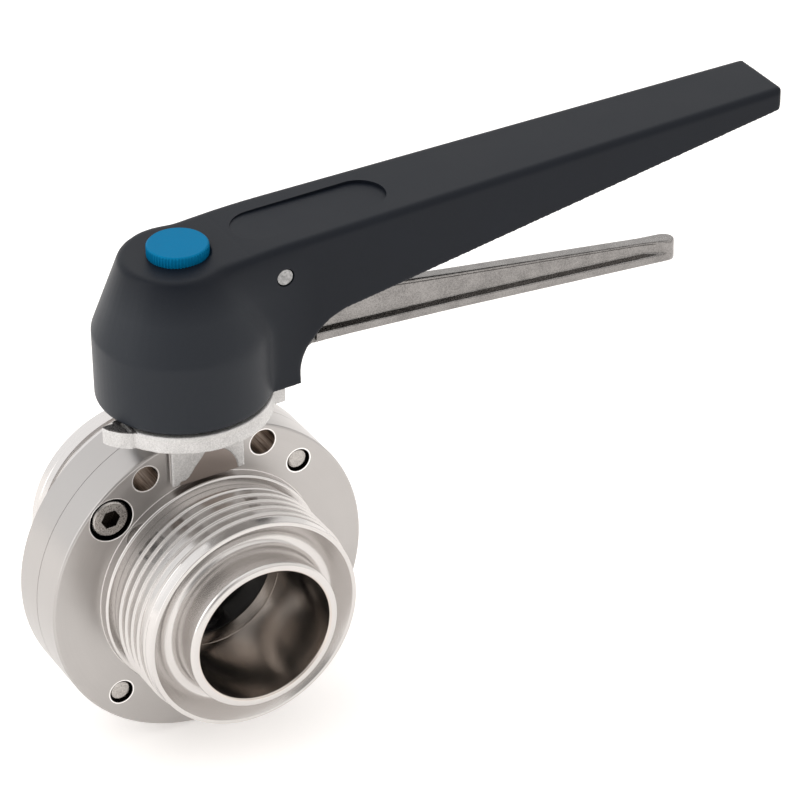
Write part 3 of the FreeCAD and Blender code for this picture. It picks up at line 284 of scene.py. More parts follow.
def cast_steel(name, tint, rough, grain, grain_scale=3200.0, contrast=0.22, ear_shade_limits=None, screws=False):
    """Cast metal; an optional pair gives the reach along X and the height beyond which the ear tops by the hood get
    painted shade, dark and grainy, and an optional switch paints shade into the hexagon sockets and the threads
    round the tail ends."""
    g = Graph(name)
    place = g.place()
    fine = g.noise(place, grain_scale, 4.0, 0.65)
    wave = g.noise(place, 160.0, 3.0, 0.5)
    dark = tuple((1.0 - contrast) * c for c in tint)
    color = g.ramp(g.math("ADD", g.math("MULTIPLY", fine, 0.7), g.math("MULTIPLY", wave, 0.3)),
                   (0.36, dark), (0.6, tint))
    roughness = g.span(fine, rough - 0.08, rough + 0.1, 0.3, 0.7)
    # Painted shade: the ear tops by the hood are painted near black, dark and grainy.
    if ear_shade_limits is not None:
        x, y, z = g.parts(place)
        ear_shade_mask = g.both(g.math("GREATER_THAN", g.math("ABSOLUTE", x), ear_shade_limits[0] * MM),
                      g.math("GREATER_THAN", z, ear_shade_limits[1] * MM))
        painted_ear_shade = g.ramp(fine, (0.38, (0.012, 0.011, 0.011)), (0.66, (0.26, 0.25, 0.245)))
        color = g.mixed(ear_shade_mask, color, painted_ear_shade)
    # Painted shade: the hexagon sockets and the threads round the screw tails are painted near black.
    if screws:
        x, y, z = g.parts(place)
        heads, tails = quarters(g)
        screw = g.away(x, z, SCREW_PLACE, SCREW_PLACE)
        deep = g.math("LESS_THAN", g.math("ABSOLUTE", y), HEAD_FACE * MM)
        socket_shade = g.both(g.both(heads, deep), g.between(screw, 0.0, 3.6))
        thread_shade = g.both(tails, g.between(screw, 3.25, 6.0))
        color = g.mixed(g.math("ADD", socket_shade, thread_shade), color, (0.06, 0.05, 0.043))
    first = g.bump(wave, 0.10 * MM)
    normal = g.bump(fine, grain * MM, 1.0, first)
    return g.finish(color, roughness, normal, 1.0)


# Moulded plastics: a spark-eroded grain and faint flow shading.

def moulded(name, tint, rough, grain, grain_scale=2600.0, spread=0.16, shine=0.5, patch_tint=None):
    """Plastic; an optional lighter tint is painted light on the hood near the stem, below the deck."""
    g = Graph(name)
    place = g.place()
    fine = g.noise(place, grain_scale, 3.0, 0.6)
    flow = g.noise(place, 34.0, 3.0, 0.55)
    dark = tuple((1.0 - spread) * c for c in tint)
    light = tuple((1.0 + spread) * c for c in tint)
    color = g.ramp(g.math("ADD", g.math("MULTIPLY", fine, 0.45), g.math("MULTIPLY", flow, 0.55)),
                   (0.3, dark), (0.7, light))
    # Painted light: the hood near the stem, below the deck, is lighter, fading out along the arm and up to the
    # deck.
    if patch_tint is not None:
        x, y, z = g.parts(place)
        near = g.both(g.span(x, 1.0, 0.0, 8.0 * MM, 40.0 * MM), g.span(z, 1.0, 0.0, 104.0 * MM, 116.0 * MM))
        color = g.mixed(near, color, patch_tint)
    roughness = g.span(g.math("ADD", g.math("MULTIPLY", fine, 0.5), g.math("MULTIPLY", flow, 0.5)),
                       rough - 0.05, rough + 0.08, 0.3, 0.7)
    return g.finish(color, roughness, g.bump(fine, grain * MM), Specular_IOR_Level=shine)


MATERIALS = {
    # The last tint of turned_steel is painted light on the liners.
    "turned_steel": turned_steel("turned_steel", (0.445, 0.427, 0.414), 0.3, 0.0012, "Y",
                                 (0.60, 0.55, 0.51), (0.62, 0.598, 0.582)),
    "polished_steel": turned_steel("polished_steel", (0.46, 0.45, 0.44), 0.16, 0.001, "Y",
                                   tip=(100.0, (0.36, 0.36, 0.36))),
    # cast_steel paints shade on the ear tops by the hood.
    "cast_steel": cast_steel("cast_steel", (0.72, 0.71, 0.70), 0.62, 0.12, 2200.0, 0.34, (24.8, 66.0)),
    "lever_steel": cast_steel("lever_steel", (0.30, 0.287, 0.278), 0.22, 0.05, 2000.0, 0.46),
    # screw_steel paints shade in the sockets and round the tail threads.
    "screw_steel": cast_steel("screw_steel", (0.5, 0.475, 0.45), 0.28, 0.012, 2000.0, 0.4,
                              screws=True),
    "spring_steel": turned_steel("spring_steel", (0.5, 0.5, 0.52), 0.3, 0.002, "Z"),
    "seat_rubber": moulded("seat_rubber", (0.012, 0.012, 0.013), 0.42, 0.01),
    "bush_plastic": moulded("bush_plastic", (0.66, 0.63, 0.56), 0.5, 0.01),
    # The second tint of handle_plastic is painted light on the hood.
    "handle_plastic": moulded("handle_plastic", (0.006, 0.008, 0.0125), 0.42, 0.03, shine=0.15,
                              patch_tint=(0.0195, 0.0225, 0.028)),
    "knob_plastic": moulded("knob_plastic", (0.0, 0.15, 0.31), 0.5, 0.01, 2600.0, 0.08, 0.05),
}
SLOT_OF = {part["node"]: part["material_slot"] for part in frame["record"]["subparts"]}


# Mesh helpers.

def new_object(name, mesh, nodes, slot):
    """Links a mesh as a piece that stands for CAD nodes and wears a slot's material."""
    obj = bpy.data.objects.new(name, mesh)
    bpy.context.scene.collection.objects.link(obj)
    obj.data.materials.clear()
    obj.data.materials.append(MATERIALS[slot])
    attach(obj, BODY_OF[nodes[0]])
    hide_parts(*nodes)
    return obj


def cleaned(node):
    """A copy of a CAD node's mesh with shared corners and whole flat faces."""
    bm = bmesh.new()
    bm.from_mesh(NODES[node].data)
    bmesh.ops.remove_doubles(bm, verts=bm.verts, dist=2e-6)
    bmesh.ops.dissolve_limit(bm, angle_limit=math.radians(0.6), verts=bm.verts, edges=bm.edges)
    bmesh.ops.recalc_face_normals(bm, faces=bm.faces)
    mesh = bpy.data.meshes.new(node + "_skin")
    bm.to_mesh(mesh)
    bm.free()
    return mesh


def apply_modifiers(obj):
    depsgraph = bpy.context.evaluated_depsgraph_get()
    mesh = bpy.data.meshes.new_from_object(obj.evaluated_get(depsgraph))
    obj.modifiers.clear()
    old = obj.data
    obj.data = mesh
    bpy.data.meshes.remove(old)


def smooth_by_angle(obj, degrees):
    obj.data.shade_smooth()
    obj.data.set_sharp_from_angle(angle=math.radians(degrees))


def bevelled(node, width, degrees=32.0, mesh=None):
    """The CAD shape with its edges broken, as a machined part leaves the shop."""
    obj = new_object(node + "_skin", mesh or cleaned(node), [node], SLOT_OF[node])
    bevel = obj.modifiers.new("edges", "BEVEL")
    bevel.width = width * MM
    bevel.segments = 2
    bevel.limit_method = "ANGLE"
    bevel.angle_limit = math.radians(degrees)
    bevel.harden_normals = False
    bevel.use_clamp_overlap = True
    bevel.miter_outer = "MITER_ARC"
    apply_modifiers(obj)
    smooth_by_angle(obj, 34.0)
    even = obj.modifiers.new("even", "WEIGHTED_NORMAL")
    even.keep_sharp = True
    apply_modifiers(obj)
    return obj


ODD_TURN = Euler((0.53, 0.31, 0.77)).to_matrix().to_4x4()


def softened(node, voxel, passes, fillers=(), change=None):
    """The CAD shape, with fillers joined in, with the round edges of a casting or moulding."""
    base = cleaned(node)
    if change is not None:
        base = change(base)
    bm = bmesh.new()
    for part in (base, *fillers):
        bm.from_mesh(part)
    mesh = bpy.data.meshes.new(node + "_blank")
    bm.to_mesh(mesh)
    bm.free()
    mesh.transform(ODD_TURN)
    obj = new_object(node + "_skin", mesh, [node], SLOT_OF[node])
    remesh = obj.modifiers.new("grid", "REMESH")
    remesh.mode = "VOXEL"
    remesh.voxel_size = voxel * MM
    apply_modifiers(obj)
    obj.data.transform(ODD_TURN.inverted())
    relax(obj.data, passes)
    obj.data.shade_smooth()
    return obj


def prism(outline, low, high):
    """Closed prism over an outline in x and y; low and high give its ends at a distance x."""
    count = len(outline)
    points = [(x, y, low(x)) for x, y in outline] + [(x, y, high(x)) for x, y in outline]
    faces = [tuple(reversed(range(count))), tuple(range(count, 2 * count))]
    for i in range(count):
        n = (i + 1) % count
        faces.append((i, n, count + n, count + i))
    mesh = bpy.data.meshes.new("prism")
    mesh.from_pydata([tuple(v * MM for v in p) for p in points], [], faces)
    return mesh


def stadium(start, end, half, steps=24):
    """Outline with straight sides and half-round ends."""
    points = []
    for middle, first in ((end - half, -90.0), (start + half, 90.0)):
        for k in range(steps + 1):
            angle = math.radians(first + 180.0 * k / steps)
            points.append((middle + half * math.cos(angle), half * math.sin(angle)))
    return points


def cut(obj, mesh):
    tool = bpy.data.objects.new("cutter", mesh)
    bpy.context.scene.collection.objects.link(tool)
    boolean = obj.modifiers.new("cut", "BOOLEAN")
    boolean.operation = "DIFFERENCE"
    boolean.solver = "EXACT"
    boolean.object = tool
    apply_modifiers(obj)
    bpy.data.objects.remove(tool)


def relax(mesh, passes, weight=None):
    """Moves each corner towards the middle of its neighbours, more where the weight is high."""
    count = len(mesh.vertices)
    points = np.empty(count * 3)
    mesh.vertices.foreach_get("co", points)
    points = points.reshape(-1, 3)
    ends = np.empty(len(mesh.edges) * 2, dtype=np.int64)
    mesh.edges.foreach_get("vertices", ends)
    a, b = ends.reshape(-1, 2).T
    share = np.bincount(a, minlength=count) + np.bincount(b, minlength=count)
    pull = 0.5 if weight is None else 0.5 * weight(points / MM)[:, None]
    for turn in range(passes):
        total = np.zeros_like(points)
        for axis in range(3):
            total[:, axis] = (np.bincount(a, points[b, axis], count)
                              + np.bincount(b, points[a, axis], count))
        points += pull * (total / share[:, None] - points)
    mesh.vertices.foreach_set("co", points.ravel())
    mesh.update()


def window(values, low, high, soft):
    """1 between low and high, falling to 0 over a soft margin outside."""
    rise = np.clip((values - low) / soft + 1.0, 0.0, 1.0)
    fall = np.clip((high - values) / soft + 1.0, 0.0, 1.0)
    return rise * fall


# Union ends: turned liner with a round thread.

THREAD_PITCH = 25.4 / 6.0
THREAD_R = 39.0
THREAD_DEPTH = 0.8
CREST_FOOT = 0.095
CREST_STEPS = 4
VALLEY = (0.22, 0.36, 0.5, 0.64, 0.78)
CREST_PLACE = -4.019
THREAD_START = 21.4
THREAD_END = 40.9
STEPS = 288


def rounded(points, radii, parts=4):
    """Profile points with the corners in radii turned into arcs."""
    result = []
    for i, point in enumerate(points):
        radius = radii.get(i)
        here = np.array(point)
        if radius is None:
            result.append(tuple(here))
            continue
        back = np.array(points[i - 1]) - here
        ahead = np.array(points[(i + 1) % len(points)]) - here
        back /= np.linalg.norm(back)
        ahead /= np.linalg.norm(ahead)
        half = math.acos(float(np.clip(back @ ahead, -1.0, 1.0))) / 2.0
        reach = radius / math.tan(half)
        start = here + back * reach
        end = here + ahead * reach
        centre = here + (back + ahead) / np.linalg.norm(back + ahead) * radius / math.sin(half)
        first = math.atan2(*(start - centre)[::-1])
        last = math.atan2(*(end - centre)[::-1])
        sweep = (last - first + math.pi) % (2.0 * math.pi) - math.pi
        for k in range(parts + 1):
            angle = first + sweep * k / parts
            result.append((centre[0] + radius * math.cos(angle),
                           centre[1] + radius * math.sin(angle)))
    return result


def thread_rows(angles):
    """Rows that follow the helix, so that each crest is one clean line; also rows per turn."""
    turns = angles / (2.0 * math.pi)
    offsets = [CREST_FOOT * k / CREST_STEPS for k in range(-CREST_STEPS, CREST_STEPS + 1)]
    offsets += VALLEY
    rows = []
    for crest_number in range(-6, 2):
        for offset in offsets:
            station = THREAD_START + THREAD_PITCH * (crest_number + offset - CREST_PLACE + turns)
            crest = max(0.0, 1.0 - abs(offset) / CREST_FOOT)
            crest = crest * crest * (3.0 - 2.0 * crest)
            run_out = np.clip(np.minimum((station - THREAD_START) / 1.6,
                                         (THREAD_END - station) / 0.7), 0.0, 1.0)
            radius = THREAD_R - THREAD_DEPTH * (1.0 - crest * run_out)
            rows.append((np.clip(station, THREAD_START, THREAD_END), radius))
    return rows, len(offsets)


def profile_rows():
    """Plain rings of the liner as station and radius, from the end of the thread round to its start."""
    root = THREAD_R - THREAD_DEPTH
    profile = [
        (THREAD_END + 0.1, root), (41.7, 38.0), (44.5, 38.0), (44.5, 36.6), (38.4, 31.2),
        (38.9, 27.0), (52.0, 27.0), (52.0, 23.8), (16.85, 23.8), (16.85, 37.1), (20.4, 37.1),
        (20.9, root),
    ]
    around = np.ones(STEPS)
    return [(station * around, radius * around)
            for station, radius in rounded(profile, {2: 0.35, 3: 0.3, 4: 2.6, 5: 2.6, 6: 1.35,
                                                     7: 0.85, 8: 0.1, 9: 0.15}, 6)]


def union_end(node, outward):
    """One liner; outward is the sign of the pipe axis on its side."""
    angles = np.linspace(0.0, 2.0 * math.pi, STEPS, endpoint=False)
    thread, per_turn = thread_rows(angles)
    rows = thread + profile_rows()
    points = np.concatenate([
        np.stack([radius * np.cos(angles), outward * station, -outward * radius * np.sin(angles)], axis=1)
        for station, radius in rows
    ]) * MM
    total = len(rows)
    last_thread = len(thread) - 1

    def after(row, k):
        """Point beyond the last angle: on the helix the row continues as the next turn's row."""
        if k < STEPS:
            return row * STEPS + k
        if row <= last_thread:
            row = min(row + per_turn, last_thread)
        return row * STEPS

    faces = []
    for i in range(total):
        j = (i + 1) % total
        for k in range(STEPS):
            faces.append((i * STEPS + k, after(i, k + 1), after(j, k + 1), j * STEPS + k))
    bm = bmesh.new()
    corners = [bm.verts.new(point) for point in points.tolist()]
    for face in faces:
        if len(set(face)) == 4:
            bm.faces.new([corners[v] for v in face])
    bmesh.ops.remove_doubles(bm, verts=bm.verts, dist=2e-6)
    bmesh.ops.dissolve_degenerate(bm, edges=bm.edges, dist=1e-6)
    bmesh.ops.recalc_face_normals(bm, faces=bm.faces)
    mesh = bpy.data.meshes.new(node + "_skin")
    bm.to_mesh(mesh)
    bm.free()
    obj = new_object(node + "_skin", mesh, [node], SLOT_OF[node])
    smooth_by_angle(obj, 50.0)
    return obj


# Handle: moulded body with a soft blend from hood to arm, a sharp label recess and pin holes.

def probe(node):
    """Function that gives where a ray first meets a CAD node, in millimetres."""
    mesh = NODES[node].data
    mesh.calc_loop_triangles()
    tree = BVHTree.FromPolygons([v.co for v in mesh.vertices],
                                [t.vertices[:] for t in mesh.loop_triangles])

    def hit(start, direction):
        found = tree.ray_cast(Vector(start) * MM, Vector(direction))[0]
        return found / MM if found is not None else None
    return hit


def handle_blend(points):
    x, y, z = points.T
    side = window(np.abs(y), 14.0, 40.0, 4.0)
    return window(x, 4.0, 31.0, 8.0) * window(z, 78.0, 111.0, 9.0) * side


RAMP = (0.0, 18.0, 2.1)
SMOOTH_RAMP = (-14.0, 34.0)


def ease_deck(mesh, top):
    """Draws the deck's straight ramp out into a long soft one."""
    count = len(mesh.vertices)
    points = np.empty(count * 3)
    mesh.vertices.foreach_get("co", points)
    points = points.reshape(-1, 3)
    x, z = points[:, 0] / MM, points[:, 2] / MM
    start, end, rise = RAMP
    straight = rise * np.clip((x - start) / (end - start), 0.0, 1.0)
    t = np.clip((x - SMOOTH_RAMP[0]) / (SMOOTH_RAMP[1] - SMOOTH_RAMP[0]), 0.0, 1.0)
    share = np.clip((z - (top - 12.0)) / 9.0, 0.0, 1.0)
    points[:, 2] += (rise * t * t * (3.0 - 2.0 * t) - straight) * share * MM
    mesh.vertices.foreach_set("co", points.ravel())
    mesh.update()


LABEL = (19.8, 75.2, 9.4)
LABEL_FLOOR = 119.2
PIN_HOLE = 3.14


def handle_skin():
    hit = probe("grip_handle")
    near = hit((30.0, 12.0, 200.0), (0.0, 0.0, -1.0))
    far = hit((190.0, 8.0, 200.0), (0.0, 0.0, -1.0))
    slope = (far.z - near.z) / 160.0

    def deck(x):
        return near.z + slope * (x - 30.0)

    start, end, half = LABEL
    fillers = [prism(stadium(start - 0.1, end + 0.1, half + 0.1), lambda x: LABEL_FLOOR - 0.6, deck)]
    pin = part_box("trigger_pin")
    pin_x = (pin[0][0] + pin[1][0]) / 2.0 / MM
    pin_z = (pin[0][2] + pin[1][2]) / 2.0 / MM
    wall = (hit((pin_x - 4.2, -60.0, pin_z), (0.0, 1.0, 0.0)).y
            + hit((pin_x + 4.2, -60.0, pin_z), (0.0, 1.0, 0.0)).y) / 2.0
    stand = Matrix.Translation(Vector((pin_x, 0.0, pin_z)) * MM) @ Matrix.Rotation(math.pi / 2, 4, "X")
    for side in (-1, 1):
        ends = sorted((side * wall, side * (wall + 2.4)))
        plug = prism(stadium(-3.2, 3.2, 3.2), lambda x: ends[0], lambda x: ends[1])
        plug.transform(stand)
        fillers.append(plug)
    obj = softened("grip_handle", 0.4, 11, fillers)
    relax(obj.data, 170, handle_blend)
    ease_deck(obj.data, deck(0.0))
    cut(obj, prism(stadium(start, end, half), lambda x: LABEL_FLOOR, lambda x: deck(x) + 3.0))
    hole = prism(stadium(-PIN_HOLE, PIN_HOLE, PIN_HOLE), lambda x: -30.0, lambda x: 30.0)
    hole.transform(stand)
    cut(obj, hole)
    smooth_by_angle(obj, 42.0)
    return obj


# Trigger lever: the CAD head and tooth with a lofted arm of the casting's own section.

LEVER_START = 47.5
LEVER_STEP = 0.8
LEVER_FOOT = 3.4
LEVER_SPAN = 125.0
LEVER_SHORTER = 1.5
DROP_START = 0.3
TIP_DROP = 1.05
TIP_ROUND = 3.5


def lever_section(height, hollow):
    """Half section as half width and height, bottom to top; hollow is 1 where the web is full."""
    web = 3.35 - 2.2 * hollow
    lip = 3.1 - 0.65 * hollow
    foot = min(LEVER_FOOT, 0.45 * height)
    knee = foot + 0.3 + 0.6 * hollow
    points = [(0.0, 0.0), (2.5, 0.0), (3.1, 0.22), (3.42, 0.6), (3.5, 1.0), (3.5, foot - 0.3),
              (3.4, foot)]
    points += [(0.5 * (3.4 + web), 0.5 * (foot + knee)), (web, knee), (web, knee + 0.4),
               (web, 0.86 * height), (web + 0.3 * (lip - web), 0.90 * height),
               (lip, 0.93 * height), (lip, height - 0.5), (lip - 0.2, height - 0.12),
               (lip - 0.6, height), (0.0, height)]
    return points


def lever_arm():
    hit = probe("trigger_lever")
    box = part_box("trigger_lever")
    end = box[1][0] / MM - LEVER_SHORTER
    stations = [LEVER_START + LEVER_STEP * k for k in range(int((end - LEVER_START) / LEVER_STEP) + 1)]
    stations.append(end)
    rows = []
    for x in stations:
        along = max(0.0, 1.0 - (end - x) / LEVER_SPAN)
        low = hit((x, 0.0, 0.0), (0.0, 0.0, 1.0)).z - TIP_DROP * max(0.0, (along - DROP_START) / (1.0 - DROP_START))
        high = hit((x, 0.0, 200.0), (0.0, 0.0, -1.0)).z
        hollow = min(1.0, max(0.0, (end - 4.0 - x) / 9.0))
        section = lever_section(high - low, hollow)
        shrink = math.sqrt(1.0 - 0.9 * max(0.0, 1.0 - (end - x) / TIP_ROUND) ** 2)
        right = [(x, y * shrink, low + z) for y, z in section]
        left = [(x, -y * shrink, low + z) for y, z in section[-2:0:-1]]
        rows.append(right + left)
    count = len(rows[0])
    points = [tuple(v * MM for v in p) for row in rows for p in row]
    faces = [tuple(reversed(range(count))), tuple(range(len(points) - count, len(points)))]
    for i in range(len(rows) - 1):
        for k in range(count):
            n = (k + 1) % count
            faces.append((i * count + k, i * count + n, (i + 1) * count + n, (i + 1) * count + k))
    mesh = bpy.data.meshes.new("lever_arm")
    mesh.from_pydata(points, [], faces)
    return mesh


def thinned(mesh):
    """The lever's CAD copy with its arm drawn in, so that the lofted arm covers it."""
    hit = probe("trigger_lever")
    for vertex in mesh.vertices:
        x = vertex.co.x / MM
        if x > LEVER_START:
            inside = min(x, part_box("trigger_lever")[1][0] / MM - 0.05)
            low = hit((inside, 0.0, 0.0), (0.0, 0.0, 1.0)).z
            high = hit((inside, 0.0, 200.0), (0.0, 0.0, -1.0)).z
            share = min(1.0, (x - LEVER_START) / 8.0)
            middle = (0.35 * low + 0.65 * high) * MM
            vertex.co.z += 0.6 * share * (middle - vertex.co.z)
            vertex.co.y *= 0.3
            vertex.co.x = min(vertex.co.x, (inside - LEVER_SHORTER - 1.0) * MM)
    return mesh


# Bracket: cast legs that widen towards the ring, a ring that stops behind the left ear.

LEGS = {
    -1.0: [(-12.7, 42.5), (-8.3, 42.5), (-6.9, 43.6), (-4.7, 46.7), (-2.3, 49.3), (-1.1, 50.9),
           (-0.4, 53.4), (-12.7, 53.4)],
    1.0: [(11.2, 42.5), (12.7, 42.5), (12.7, 53.4), (6.0, 53.4), (6.6, 51.4), (9.7, 46.8)],
}
LEG_WALL = 1.5
GAP_SECTOR = (130.0, 190.5)
GAP_RADII = (22.3, 40.0)
EAR_END = 29.4
EAR_FILL = [(27.0, -14.0), (33.0, -14.0), (34.4, -12.0), (34.4, -8.4), (33.0, -6.6), (27.0, -6.6)]
RING_FLOOR = 59.0
EAR_TRIM = [(-50.0, -20.0), (-24.8, -20.0), (-24.8, -15.6), (-29.4, -12.2), (-32.0, -8.8), (-32.9, -6.4),
            (-32.6, -4.0), (-50.0, -4.0)]


def bracket_skin():
    hit = probe("position_bracket")
    front = hit((-12.0, -60.0, 44.0), (0.0, 1.0, 0.0)).y
    rear = hit((-12.0, 60.0, 44.0), (0.0, -1.0, 0.0)).y
    upright = Matrix.Rotation(math.pi / 2, 4, "X")
    fillers = []
    for near, far in ((front, front + LEG_WALL), (rear - LEG_WALL, rear)):
        turned = 1.0 if near < 0.0 else -1.0
        for side in (-1.0, 1.0):
            outline = [(turned * x, z) for x, z in LEGS[side][::int(turned)]]
            leg = prism(outline, lambda x: -far, lambda x: -near)
            leg.transform(upright)
            fillers.append(leg)
    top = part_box("position_bracket")[1][2] / MM
    ears = hit((-32.0, -10.3, 200.0), (0.0, 0.0, -1.0)).z
    ring = hit((0.0, -28.0, 200.0), (0.0, 0.0, -1.0)).z
    for side in (-1.0, 1.0):
        corners = [(side * x, y) for x, y in EAR_FILL]
        fillers.append(prism(corners[::int(side)], lambda x: ears - 0.5, lambda x: ring))
    obj = softened("position_bracket", 0.35, 4, fillers)
    inner, outer = GAP_RADII
    first, last = (math.radians(v) for v in GAP_SECTOR)
    turns = [first + (last - first) * k / 12.0 for k in range(13)]
    sector = [(inner * math.cos(a), inner * math.sin(a)) for a in turns[::-1]]
    sector += [(outer * math.cos(a), outer * math.sin(a)) for a in turns]
    cut(obj, prism(sector, lambda x: RING_FLOOR, lambda x: top + 1.0))
    cut(obj, prism(EAR_TRIM, lambda x: RING_FLOOR, lambda x: top + 1.0))
    tip = [(EAR_END, -20.0), (50.0, -20.0), (50.0, 0.0), (EAR_END, 0.0)]
    cut(obj, prism(tip, lambda x: RING_FLOOR, lambda x: top + 1.0))
    smooth_by_angle(obj, 45.0)


# Cap screws and half bodies.

def cap_screws(node, tail):
    """Bevelled screws whose far ends, on the side of tail along the pipe, have a wide chamfer."""
    mesh = cleaned(node)
    bm = bmesh.new()
    bm.from_mesh(mesh)
    reach = max(tail * v.co.y for v in bm.verts)
    ends = [e for e in bm.edges if min(tail * v.co.y for v in e.verts) > reach - 2e-5]
    bmesh.ops.bevel(bm, geom=ends, offset=0.85 * MM, segments=1, affect="EDGES")
    bm.to_mesh(mesh)
    bm.free()
    return bevelled(node, 0.25, 32.0, mesh)


BOSS = [(-12.3, 41.0), (12.3, 41.0), (12.3, 57.0), (-12.3, 57.0)]
BOSS_SINK = 0.4


def body_skin(node, side):
    """Bevelled half body; its boss is filled up to just behind the bracket's legs."""
    legs = probe("position_bracket")((-12.0, side * 60.0, 44.0), (0.0, -side, 0.0)).y
    own = probe(node)((0.0, side * 60.0, 50.0), (0.0, -side, 0.0)).y
    near, far = sorted((own - side * 0.5, legs - side * BOSS_SINK))
    slab = prism(BOSS, lambda x: -far, lambda x: -near)
    slab.transform(Matrix.Rotation(math.pi / 2, 4, "X"))
    bm = bmesh.new()
    bm.from_mesh(cleaned(node))
    bm.from_mesh(slab)
    mesh = bpy.data.meshes.new(node + "_skin")
    bm.to_mesh(mesh)
    bm.free()
    return bevelled(node, 0.4, 32.0, mesh)


def build_pieces():
    union_end("union_front", -1.0)
    union_end("union_rear", 1.0)
    body_skin("body_front", -1.0)
    body_skin("body_rear", 1.0)
    cap_screws("front_cap_screws", 1.0)
    cap_screws("rear_cap_screws", -1.0)
    bevelled("knob_cap", 0.18)
    bevelled("trigger_pin", 0.45)
    bevelled("disc", 0.2)
    bevelled("seat_seal", 0.3)
    bracket_skin()
    softened("trigger_lever", 0.3, 3, [lever_arm()], thinned)
    handle_skin()


def dress_rest():
    """Gives every CAD node that still shows its slot's material."""
    for name, obj in NODES.items():
        obj.data.materials.clear()
        obj.data.materials.append(MATERIALS[SLOT_OF[name]])


# Stage: pale floor, soft light, camera at the photograph's place.

FLOOR_Z = -0.0574
LOOK = Vector((0.06, 0.0, 0.03))


def floor():
    size = 6.0
    mesh = bpy.data.meshes.new("floor")
    corners = [(-size, -size, FLOOR_Z), (size, -size, FLOOR_Z), (size, size, FLOOR_Z),
               (-size, size, FLOOR_Z)]
    mesh.from_pydata(corners, [], [(0, 1, 2, 3)])
    obj = bpy.data.objects.new("floor", mesh)
    bpy.context.scene.collection.objects.link(obj)
    g = Graph("floor_white")
    tone = g.ramp(g.noise(g.place(), 3.0), (0.3, (0.93, 0.915, 0.90)), (0.7, (0.95, 0.935, 0.92)))
    material = g.finish(tone, 0.9)
    g.shader.inputs["Specular IOR Level"].default_value = 0.0
    g.shader.inputs["Emission Color"].default_value = (1.0, 0.975, 0.955, 1.0)
    g.shader.inputs["Emission Strength"].default_value = 0.32
    obj.data.materials.append(material)


def area_light(name, place, width, height, power):
    data = bpy.data.lights.new(name, "AREA")
    data.shape = "RECTANGLE"
    data.size = width
    data.size_y = height
    data.energy = power
    obj = bpy.data.objects.new(name, data)
    obj.location = place
    obj.rotation_euler = (LOOK - Vector(place)).to_track_quat("-Z", "Y").to_euler()
    bpy.context.scene.collection.objects.link(obj)


TENT_AXIS = Vector((-0.35, 0.85, 0.4)).normalized()
TENT = [
    (0.0, (0.66, 0.64, 0.62)), (0.25, (1.22, 1.20, 1.18)), (0.5, (1.06, 1.04, 1.03)),
    (0.75, (1.14, 1.13, 1.12)), (1.0, (1.30, 1.30, 1.31)),
]
TENT_SCALE = 1.5
OPENING = Vector((-0.4165, -0.7346, 0.5357))
OPENING_EDGES = (0.88, 0.985)


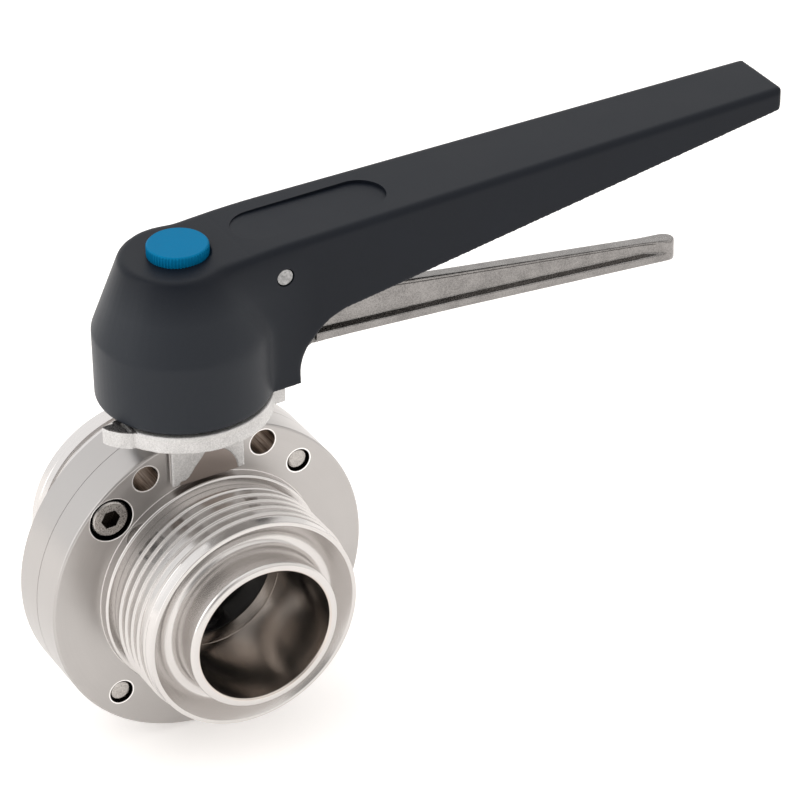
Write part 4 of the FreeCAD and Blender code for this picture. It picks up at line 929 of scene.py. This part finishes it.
def world_light():
    """White tent, brighter behind and to the left, with a dark opening in front; plain white in view."""
    world = bpy.data.worlds.new("studio")
    bpy.context.scene.world = world
    world.use_nodes = True
    tree = world.node_tree
    back = tree.nodes["Background"]
    place = tree.nodes.new("ShaderNodeTexCoord")
    facing = tree.nodes.new("ShaderNodeVectorMath")
    facing.operation = "DOT_PRODUCT"
    facing.inputs[1].default_value = TENT_AXIS
    share = tree.nodes.new("ShaderNodeMapRange")
    share.inputs["From Min"].default_value = -1.0
    ramp = tree.nodes.new("ShaderNodeValToRGB")
    tree.links.new(place.outputs["Generated"], facing.inputs[0])
    tree.links.new(facing.outputs["Value"], share.inputs["Value"])
    tree.links.new(share.outputs[0], ramp.inputs[0])
    while len(ramp.color_ramp.elements) < len(TENT):
        ramp.color_ramp.elements.new(0.5)
    for element, (position, color) in zip(ramp.color_ramp.elements, TENT):
        element.position = position
        element.color = (*(c / TENT_SCALE for c in color), 1.0)
    tree.links.new(ramp.outputs[0], back.inputs["Color"])
    towards = tree.nodes.new("ShaderNodeVectorMath")
    towards.operation = "DOT_PRODUCT"
    towards.inputs[1].default_value = OPENING
    open_share = tree.nodes.new("ShaderNodeMapRange")
    open_share.interpolation_type = "SMOOTHSTEP"
    open_share.inputs["From Min"].default_value = OPENING_EDGES[0]
    open_share.inputs["From Max"].default_value = OPENING_EDGES[1]
    open_share.inputs["To Min"].default_value = TENT_SCALE
    open_share.inputs["To Max"].default_value = 0.5
    tree.links.new(place.outputs["Generated"], towards.inputs[0])
    tree.links.new(towards.outputs["Value"], open_share.inputs["Value"])
    tree.links.new(open_share.outputs[0], back.inputs["Strength"])
    plain = tree.nodes.new("ShaderNodeBackground")
    plain.inputs["Color"].default_value = (1.0, 1.0, 1.0, 1.0)
    rays = tree.nodes.new("ShaderNodeLightPath")
    mix = tree.nodes.new("ShaderNodeMixShader")
    tree.links.new(rays.outputs["Is Camera Ray"], mix.inputs[0])
    tree.links.new(back.outputs[0], mix.inputs[1])
    tree.links.new(plain.outputs[0], mix.inputs[2])
    tree.links.new(mix.outputs[0], tree.nodes["World Output"].inputs[0])


def lights():
    world_light()
    area_light("left_box", (-1.3, 0.2, 0.55), 0.9, 1.3, 5.0)
    area_light("top_box", (0.1, 0.3, 1.5), 1.3, 1.3, 2.0)


CAMERA_PLACE = (-0.48117, -0.99092, 0.75881)
CAMERA_AZIMUTH = -29.553
CAMERA_RISE = 32.392
CAMERA_ROLL = -0.729
CAMERA_LENS = 179.64


def camera():
    a, e, r = (math.radians(v) for v in (CAMERA_AZIMUTH, CAMERA_RISE, CAMERA_ROLL))
    back = Vector((math.sin(a) * math.cos(e), -math.cos(a) * math.cos(e), math.sin(e)))
    right = Vector((math.cos(a), math.sin(a), 0.0))
    up = back.cross(right)
    across = right * math.cos(r) + up * math.sin(r)
    above = up * math.cos(r) - right * math.sin(r)
    data = bpy.data.cameras.new("camera")
    data.lens = CAMERA_LENS
    data.sensor_width = 36.0
    data.clip_start = 0.01
    obj = bpy.data.objects.new("camera", data)
    obj.matrix_world = Matrix.LocRotScale(
        Vector(CAMERA_PLACE), Matrix((across, above, back)).transposed().to_quaternion(), None)
    bpy.context.scene.collection.objects.link(obj)
    bpy.context.scene.camera = obj


build_pieces()
dress_rest()
floor()
lights()
camera()
bpy.context.scene.view_settings.view_transform = "Standard"
